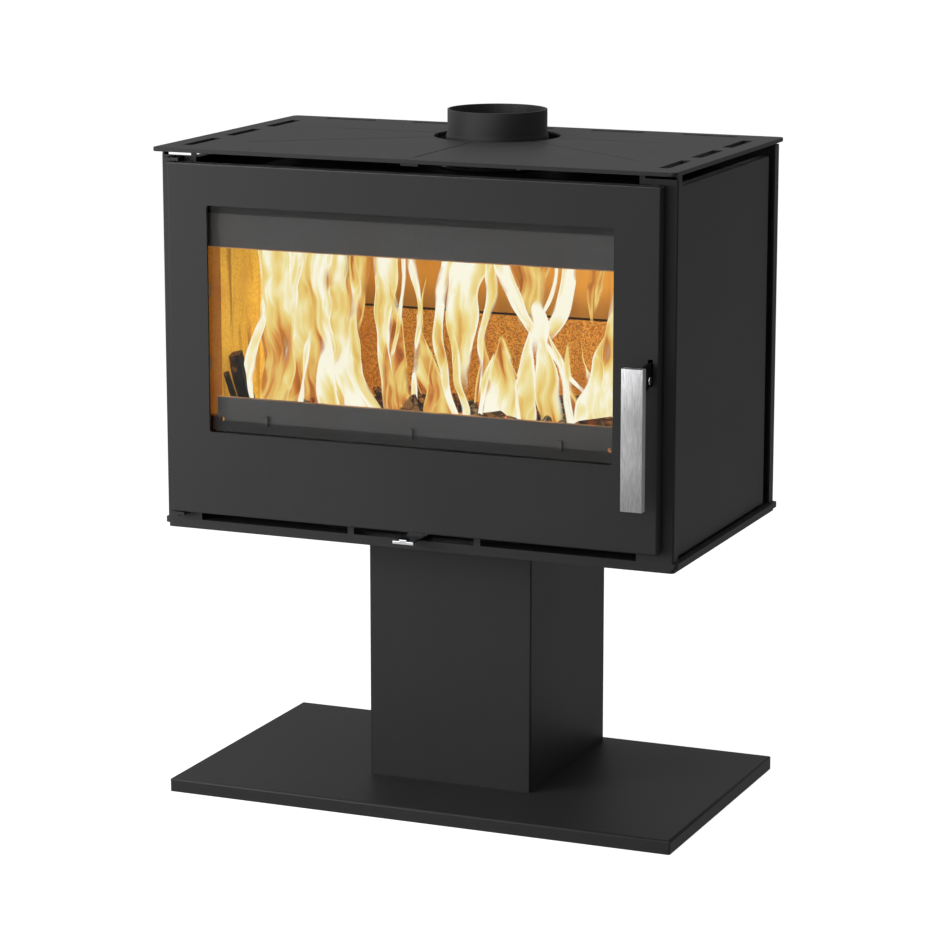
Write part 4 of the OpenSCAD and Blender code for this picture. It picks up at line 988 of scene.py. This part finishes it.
class STOVE_OT_embers(Operator):
    """Heaps the ash and glowing coals on the hearth"""

    bl_idname = "stove.embers"
    bl_label = "Embers"

    def execute(self, context):
        finish = ember_finish(context.scene.stove_fire)
        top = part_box("floor_bricks")[1].z
        # Half the bed's width and depth, how far it lies to the front, and its height
        bed_x, bed_y, ahead, heap = 285 * MM, 160 * MM, 20 * MM, 20 * MM
        bm = bmesh.new()
        bmesh.ops.create_grid(bm, x_segments=64, y_segments=36, size=1)
        for v in bm.verts:
            away = 1 - min(1, max(abs(v.co.x), abs(v.co.y))) ** 4
            place = Vector((v.co.x * bed_x, v.co.y * bed_y, 0))
            lumps = noise.noise(place * 38) * 0.5 + noise.noise(place * 90) * 0.35 + 0.75
            v.co = Vector((place.x, place.y - ahead, top + 0.5 * MM + heap * away * lumps))
        rim = [e for e in bm.edges if e.is_boundary]
        wall = bmesh.ops.extrude_edge_only(bm, edges=rim)["geom"]
        for v in (g for g in wall if isinstance(g, bmesh.types.BMVert)):
            v.co.z = top + 0.2 * MM
        bmesh.ops.holes_fill(bm, edges=[e for e in bm.edges if e.is_boundary])
        bmesh.ops.recalc_face_normals(bm, faces=bm.faces)
        piece("ash_bed", bm, [finish], "root")
        draw = random.Random(11)
        bm = bmesh.new()
        for number in range(90):
            size = draw.uniform(6, 15) * MM
            lump = bmesh.ops.create_icosphere(bm, subdivisions=2, radius=size)["verts"]
            for v in lump:
                v.co *= 1 + 0.35 * noise.noise(v.co / size * 1.3 + Vector((number * 3.1, 0, 0)))
            turn = Euler([draw.uniform(0, math.tau) for axis in range(3)]).to_matrix().to_4x4()
            shape = Matrix.Diagonal((1.3, 0.9, 0.75, 1))
            x = draw.uniform(-0.9, 0.9) * bed_x
            y = draw.uniform(-0.85, 0.8) * bed_y - ahead
            spot = Vector((x, y, top + 18 * MM))
            bmesh.ops.transform(bm, matrix=Matrix.Translation(spot) @ turn @ shape, verts=lump)
        piece("coals", bm, [finish], "root", smooth=False)
        return {"FINISHED"}


class STOVE_OT_flames(Operator):
    """Raises the flames from the logs"""

    bl_idname = "stove.flames"
    bl_label = "Flames"

    # Each flame: its foot and tip, as place to the right and height, its half widths at both, how far
    # it bows and sways to the right, its heat at both, and how much less its heart holds low down.
    # Millimetres, as it shows in the front row, and heat from 0, dull, to 1, white. A tip above the
    # crown height is where the flame heads for: it runs on up to the baffle.
    rear = (
        ((-205, 600), (-215, 770), (22, 10), (0, 5), (0.5, 0.2), 0),
        ((-60, 600), (-66, 680), (24, 6), (0, 4), (0.6, 0.2), 0),
        ((-5, 600), (-15, 670), (26, 6), (0, 5), (0.6, 0.2), 0),
        ((60, 600), (65, 720), (22, 10), (5, 0), (0.7, 0.4), 0),
        ((215, 600), (205, 690), (18, 6), (0, 3), (0.7, 0.3), 0),
    )
    middle = (
        ((-278, 600), (-268, 840), (26, 30), (8, 4), (0.6, 1.0), 0.1),
        ((-215, 600), (-225, 840), (44, 48), (0, 4), (0.7, 1.05), 0.3),
        ((-130, 600), (-155, 740), (30, 10), (-8, 0), (1.2, 0.9), 0),
        ((-168, 600), (-160, 840), (18, 26), (0, 0), (1.0, 0.75), 0.2),
        ((-150, 700), (-138, 840), (14, 24), (8, 0), (0.7, 0.4), 0),
        ((-72, 600), (-85, 790), (18, 12), (0, 0), (0.45, 0.6), 0),
        ((-85, 600), (-75, 840), (8, 26), (-16, 0), (1.0, 1.0), 0.3),
        ((-12, 600), (-40, 750), (32, 6), (0, 3), (0.45, 0.9), 0),
        ((32, 625), (45, 840), (12, 36), (-6, 0), (0.8, 1.25), 0.2),
        ((88, 595), (96, 722), (36, 10), (4, 0), (1.25, 0.5), 0),
        ((132, 595), (146, 745), (15, 15), (-5, 0), (0.95, 1.3), 0.4),
        ((174, 595), (154, 745), (18, 15), (3, 0), (0.65, 1.3), 0.3),
        ((140, 725), (140, 840), (16, 38), (0, 0), (1.0, 0.35), 0.1),
        ((250, 600), (268, 750), (46, 24), (4, 0), (1.25, 1.05), 0),
        ((264, 640), (285, 820), (18, 8), (0, 0), (1.0, 0.5), 0),
    )
    front = (
        ((-316, 600), (-282, 750), (13, 10), (-4, 0), (1.15, 1.05), 0),
        ((-255, 700), (-225, 770), (10, 8), (-4, 0), (1.1, 1.0), 0),
        ((-258, 600), (-236, 705), (4, 6), (-8, 0), (1.2, 1.1), 0),
        ((-236, 600), (-212, 710), (4, 9), (2, 0), (1.2, 1.15), 0),
        ((-182, 600), (-192, 725), (15, 20), (4, 0), (1.25, 1.2), 0.1),
        ((-244, 720), (-214, 840), (7, 17), (-6, 0), (1.1, 1.2), 0),
        ((-188, 725), (-178, 840), (4, 7), (-5, 0), (0.9, 1.1), 0),
        ((-150, 735), (-166, 840), (3, 6), (4, 0), (0.6, 0.8), 0),
        ((-98, 600), (-148, 840), (7, 8), (-20, -10), (1.05, 0.65), 0),
        ((-82, 660), (-60, 840), (3, 6), (7, 0), (0.8, 1.15), 0),
        ((-76, 597), (-82, 680), (12, 5), (0, 0), (0.5, 0.5), 0),
        ((2, 597), (-20, 690), (24, 6), (0, 3), (0.5, 0.65), 0),
        ((-44, 600), (-22, 805), (6, 3), (-9, 0), (1.2, 0.7), 0),
        ((-36, 710), (-54, 840), (4, 11), (4, 0), (1.0, 1.1), 0),
        ((28, 595), (14, 840), (9, 9), (-26, 0), (1.15, 1.0), 0),
        ((42, 595), (22, 720), (7, 7), (-4, 0), (1.15, 0.9), 0),
        ((60, 620), (74, 840), (4, 11), (4, -4), (0.9, 1.1), 0),
        ((56, 597), (90, 700), (4, 5), (-6, 0), (1.1, 1.0), 0),
        ((122, 597), (96, 722), (5, 4), (9, 0), (1.1, 0.9), 0),
        ((151, 685), (154, 775), (18, 20), (0, 0), (1.3, 1.3), 0),
        ((148, 710), (82, 840), (10, 13), (-5, 0), (1.3, 1.15), 0),
        ((155, 708), (200, 840), (13, 13), (16, 0), (1.3, 1.1), 0),
        ((150, 735), (180, 840), (3, 5), (10, 0), (1.2, 1.15), 0),
        ((236, 632), (152, 732), (7, 11), (-12, 0), (1.2, 1.3), 0),
        ((202, 595), (160, 735), (5, 9), (12, 0), (1.15, 1.3), 0),
        ((208, 597), (198, 720), (7, 3), (-3, 0), (1.15, 0.8), 0),
        ((234, 655), (214, 732), (5, 2), (0, 0), (0.9, 0.4), 0),
        ((235, 735), (230, 835), (3, 7), (4, 0), (0.5, 0.4), 0),
        ((236, 755), (266, 818), (3, 8), (-3, 0), (0.6, 0.5), 0),
    )

    def execute(self, context):
        finish = flame_finish(context.scene.stove_fire)
        rows = {"rear": (150, self.rear), "middle": (60, self.middle), "front": (0, self.front)}
        number = 0
        for name, (back, flames) in rows.items():
            bm = bmesh.new()
            bm.verts.layers.float_vector.new("flow")
            bm.verts.layers.float.new("warmth")
            bm.verts.layers.float.new("shown")
            for flame in flames:
                number += 1
                self.tongue(bm, back + number % 5 * 4, flame, number)
            made = piece(f"flames_{name}", bm, [finish], "root")
            made.visible_shadow = False
        return {"FINISHED"}

    @staticmethod
    def tongue(bm, back, flame, number):
        """One flame: a sheet drawn up its course, cupped across and curling as it rises. It stands as
        far back as the left lining lets it, in line with its place in the front row. One that starts
        or stops above the hearth fades in or out there."""
        flow = bm.verts.layers.float_vector["flow"]
        fire, shown = bm.verts.layers.float["warmth"], bm.verts.layers.float["shown"]
        foot, tip, halves, (bow, sway), heats, hollow = flame
        rooted, rising = foot[1] < HEARTH, tip[1] > CROWN
        if rooted:
            foot = (foot[0], foot[1] - ROOT)
        if rising:
            tip = (tip[0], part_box("baffle")[0].z / MM - 3 - number % 4 * 9)
        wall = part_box("lining_left")[1].x / MM + 8
        back = min(back, (min(foot[0], tip[0]) - max(halves) - wall) / -SIGHT[0])
        tall = math.dist(foot, tip)
        columns = max(6, min(26, round(max(halves) / 1.3)))
        rows = max(24, min(90, round(tall / 3)))
        made = bmesh.ops.create_grid(bm, x_segments=columns, y_segments=rows, size=0.5)["verts"]
        cup = 1 if number % 2 else -1
        for v in made:
            across, up = v.co.x * 2, v.co.y + 0.5
            x = part_way((foot[0], tip[0]), up)
            x += bow * math.sin(math.pi * up) + sway * math.sin(math.tau * up)
            z = part_way((foot[1], tip[1]), up)
            # The flame wanders a little and swells and narrows on its way up
            wave = noise.noise(Vector((up * tall / 62, number * 3.7, 0)))
            ripple = noise.noise(Vector((up * tall / 58, number * 7.1, 4.2)))
            half = part_way(halves, up ** 1.3) * (1 + 0.4 * ripple)
            x += wave * min(11, 4 + half * 0.3)
            # It closes to a tip in mid air, or thins out below the baffle
            if not rising:
                half *= (1 - up ** 2.6) ** 0.7 + 0.02
            thin = min(1, max(0, (z - THINS) / (tip[1] - THINS))) if rising else 0
            half *= (1 - thin ** 1.7) ** 0.8 + 0.02
            heart = (1 - across * across) ** 2 * max(0, 1 - up / 0.65)
            warmth = part_way(heats, up) - hollow * heart
            inward, clear = half * (1 - abs(across)), 1
            if not rooted:
                clear = min(1, up * tall / (16 + max(halves)))
            if not rising:
                inward = min(inward, (1 - up) * tall)
                clear = min(clear, (1 - up) * tall / 14)
            clear = min(clear, 1.6 * (1 - thin))
            curl = noise.noise(Vector((across * 0.7, up * 3, number * 5.3)))
            depth = FRONT_ROW + back + cup * half * 0.3 * (1 - across * across) + 12 * curl
            place = Vector((x + across * half + SIGHT[0] * back, depth, z + SIGHT[1] * back))
            # Each flame takes its own stretch of the pattern
            v[flow] = (across * half * MM, inward * MM, (up * tall + number * 1700) * MM)
            v[fire], v[shown] = warmth, clear
            v.co = place * MM


class STOVE_OT_stage(Operator):
    """Sets the floor, the white backdrop, the lamps and the camera"""

    bl_idname = "stove.stage"
    bl_label = "Stage"

    def execute(self, context):
        stage = context.scene.stove_stage
        self.floor(stage)
        self.world(stage, context.scene)
        self.lamps(stage)
        self.camera(stage, context.scene)
        context.scene.view_settings.view_transform = "Standard"
        return {"FINISHED"}

    @staticmethod
    def backdrop_rays(f):
        """1 where a ray comes from the camera, a reflection or clear glass."""
        path = f.node("ShaderNodeLightPath").outputs
        seen = f.math("MAXIMUM", path["Is Camera Ray"], path["Is Glossy Ray"])
        return f.math("MAXIMUM", seen, path["Is Transmission Ray"])

    def floor(self, stage):
        bm = bmesh.new()
        bmesh.ops.create_grid(bm, x_segments=1, y_segments=1, size=stage.floor / 2)
        f = Finish("pale_floor")
        matt = f.node("ShaderNodeBsdfDiffuse", {"Color": (0.8, 0.8, 0.8, 1)})
        mirrored = f.node("ShaderNodeLightPath").outputs["Is Glossy Ray"]
        lift = f.times_plus(mirrored, -stage.lift * (1 - stage.shade), stage.lift)
        lift = f.times(self.backdrop_rays(f), lift)
        light = f.node("ShaderNodeEmission", {"Color": (1, 1, 1, 1), "Strength": lift})
        both = f.node("ShaderNodeAddShader", {0: matt.outputs[0], 1: light.outputs[0]})
        made = finished_mesh("floor", bm, [f.show(both.outputs[0])])
        made.location.z = -0.5 * MM

    def world(self, stage, scene):
        """White to the eye, and in reflections white at the left, falling off to the right."""
        f = Finish("studio", bpy.data.worlds.new("studio"))
        right, back, up = f.axes()
        walls = f.span(right, -0.3, 0.6, stage.backdrop, stage.shade * stage.backdrop)
        walls = f.times(walls, f.span(back, 0.2, 0.9, 1, stage.far))
        ahead = f.times_plus(back, -0.8, f.times(right, -0.35))
        ahead = f.times_plus(up, 0.5, ahead)
        mirrored = f.math("ADD", walls, f.span(ahead, 0.66, 0.98, 0, stage.softbox))
        path = f.node("ShaderNodeLightPath").outputs
        shown = f.node("ShaderNodeMix", {0: path["Is Glossy Ray"], 2: stage.backdrop, 3: mirrored})
        rays = self.backdrop_rays(f)
        strength = f.node("ShaderNodeMix", {0: rays, 2: stage.soft_light, 3: shown.outputs[0]})
        light = f.node("ShaderNodeBackground", {"Color": (1, 1, 1, 1), "Strength": strength.outputs[0]})
        f.node("ShaderNodeOutputWorld", {"Surface": light.outputs[0]})
        scene.world = f.owner

    @staticmethod
    def lamp(kind, name, place, energy, **settings):
        """A lamp that lights the stove but isn't seen itself."""
        data = bpy.data.lights.new(name, kind)
        data.energy = energy
        for key, value in settings.items():
            setattr(data, key, value)
        made = put_in_scene(name, data)
        made.location = place
        made.visible_camera = made.visible_transmission = False
        return made

    def lamps(self, stage):
        middle = (CAD_BOX[0] + CAD_BOX[1]) / 2
        for name, place, energy, width in (
            ("key_lamp", (-1.7, -1.7, 0.85), stage.key, 1.0),
            ("top_lamp", (0.3, 0.2, 2.8), stage.top, 1.2),
        ):
            lamp = self.lamp("AREA", name, place, energy, size=width)
            lamp.rotation_euler = (middle - Vector(place)).to_track_quat("-Z", "Y").to_euler()
        _, high, hearth, _ = corners("floor_bricks")
        glow = {"color": linear(255, 218, 156), "shadow_soft_size": 60 * MM}
        for name, side in (("left", -190), ("middle", 20), ("right", 200)):
            place = (side * MM, hearth.y - 40 * MM, high.z + 110 * MM)
            lamp = self.lamp("POINT", f"fire_{name}", place, stage.firelight, **glow)
            lamp.visible_glossy = False

    @staticmethod
    def camera(stage, scene):
        data = bpy.data.cameras.new("camera")
        data.lens, data.sensor_width = stage.lens, 36
        data.clip_end = stage.floor * 2
        aim = Vector((2, 0, 478)) * MM
        flat, turn = math.cos(stage.elevation), stage.azimuth
        out = Vector((math.sin(turn) * flat, -math.cos(turn) * flat, math.sin(stage.elevation)))
        made = put_in_scene("camera", data)
        made.location = aim + out * stage.distance
        made.rotation_euler = (-out).to_track_quat("-Z", "Y").to_euler()
        scene.camera = made


GROUPS = {
    "stove_coat": StoveCoat,
    "stove_steel": StoveSteel,
    "stove_lining": StoveLining,
    "stove_rope": StoveRope,
    "stove_fire": StoveFire,
    "stove_stage": StoveStage,
}
OPERATORS = (
    STOVE_OT_sheet_metal, STOVE_OT_inner_steel, STOVE_OT_fasteners, STOVE_OT_grate, STOVE_OT_lining,
    STOVE_OT_glazing, STOVE_OT_door_rope, STOVE_OT_handle, STOVE_OT_air_knob, STOVE_OT_logs,
    STOVE_OT_embers, STOVE_OT_flames, STOVE_OT_stage,
)


class STOVE_PT_panel(Panel):
    """Lists the stove's sizes and colours, and a button for each group of pieces"""

    bl_label = "Wood Burning Stove"
    bl_idname = "STOVE_PT_panel"
    bl_space_type = "VIEW_3D"
    bl_region_type = "UI"
    bl_category = "Stove"

    def draw(self, context):
        for name, group in GROUPS.items():
            box = self.layout.box()
            box.label(text=group.__doc__)
            for setting in group.__annotations__:
                box.prop(getattr(context.scene, name), setting)
        for operator in OPERATORS:
            self.layout.operator(operator.bl_idname)


def register():
    for group in GROUPS.values():
        bpy.utils.register_class(group)
    for name, group in GROUPS.items():
        setattr(bpy.types.Scene, name, PointerProperty(type=group))
    for part in (*OPERATORS, STOVE_PT_panel):
        bpy.utils.register_class(part)


def unregister():
    for part in reversed((*OPERATORS, STOVE_PT_panel)):
        bpy.utils.unregister_class(part)
    for name in GROUPS:
        delattr(bpy.types.Scene, name)
    for group in reversed(GROUPS.values()):
        bpy.utils.unregister_class(group)


def main():
    register()
    for operator in OPERATORS:
        group, name = operator.bl_idname.split(".")
        getattr(getattr(bpy.ops, group), name)()


if __name__ == "__main__":
    main()
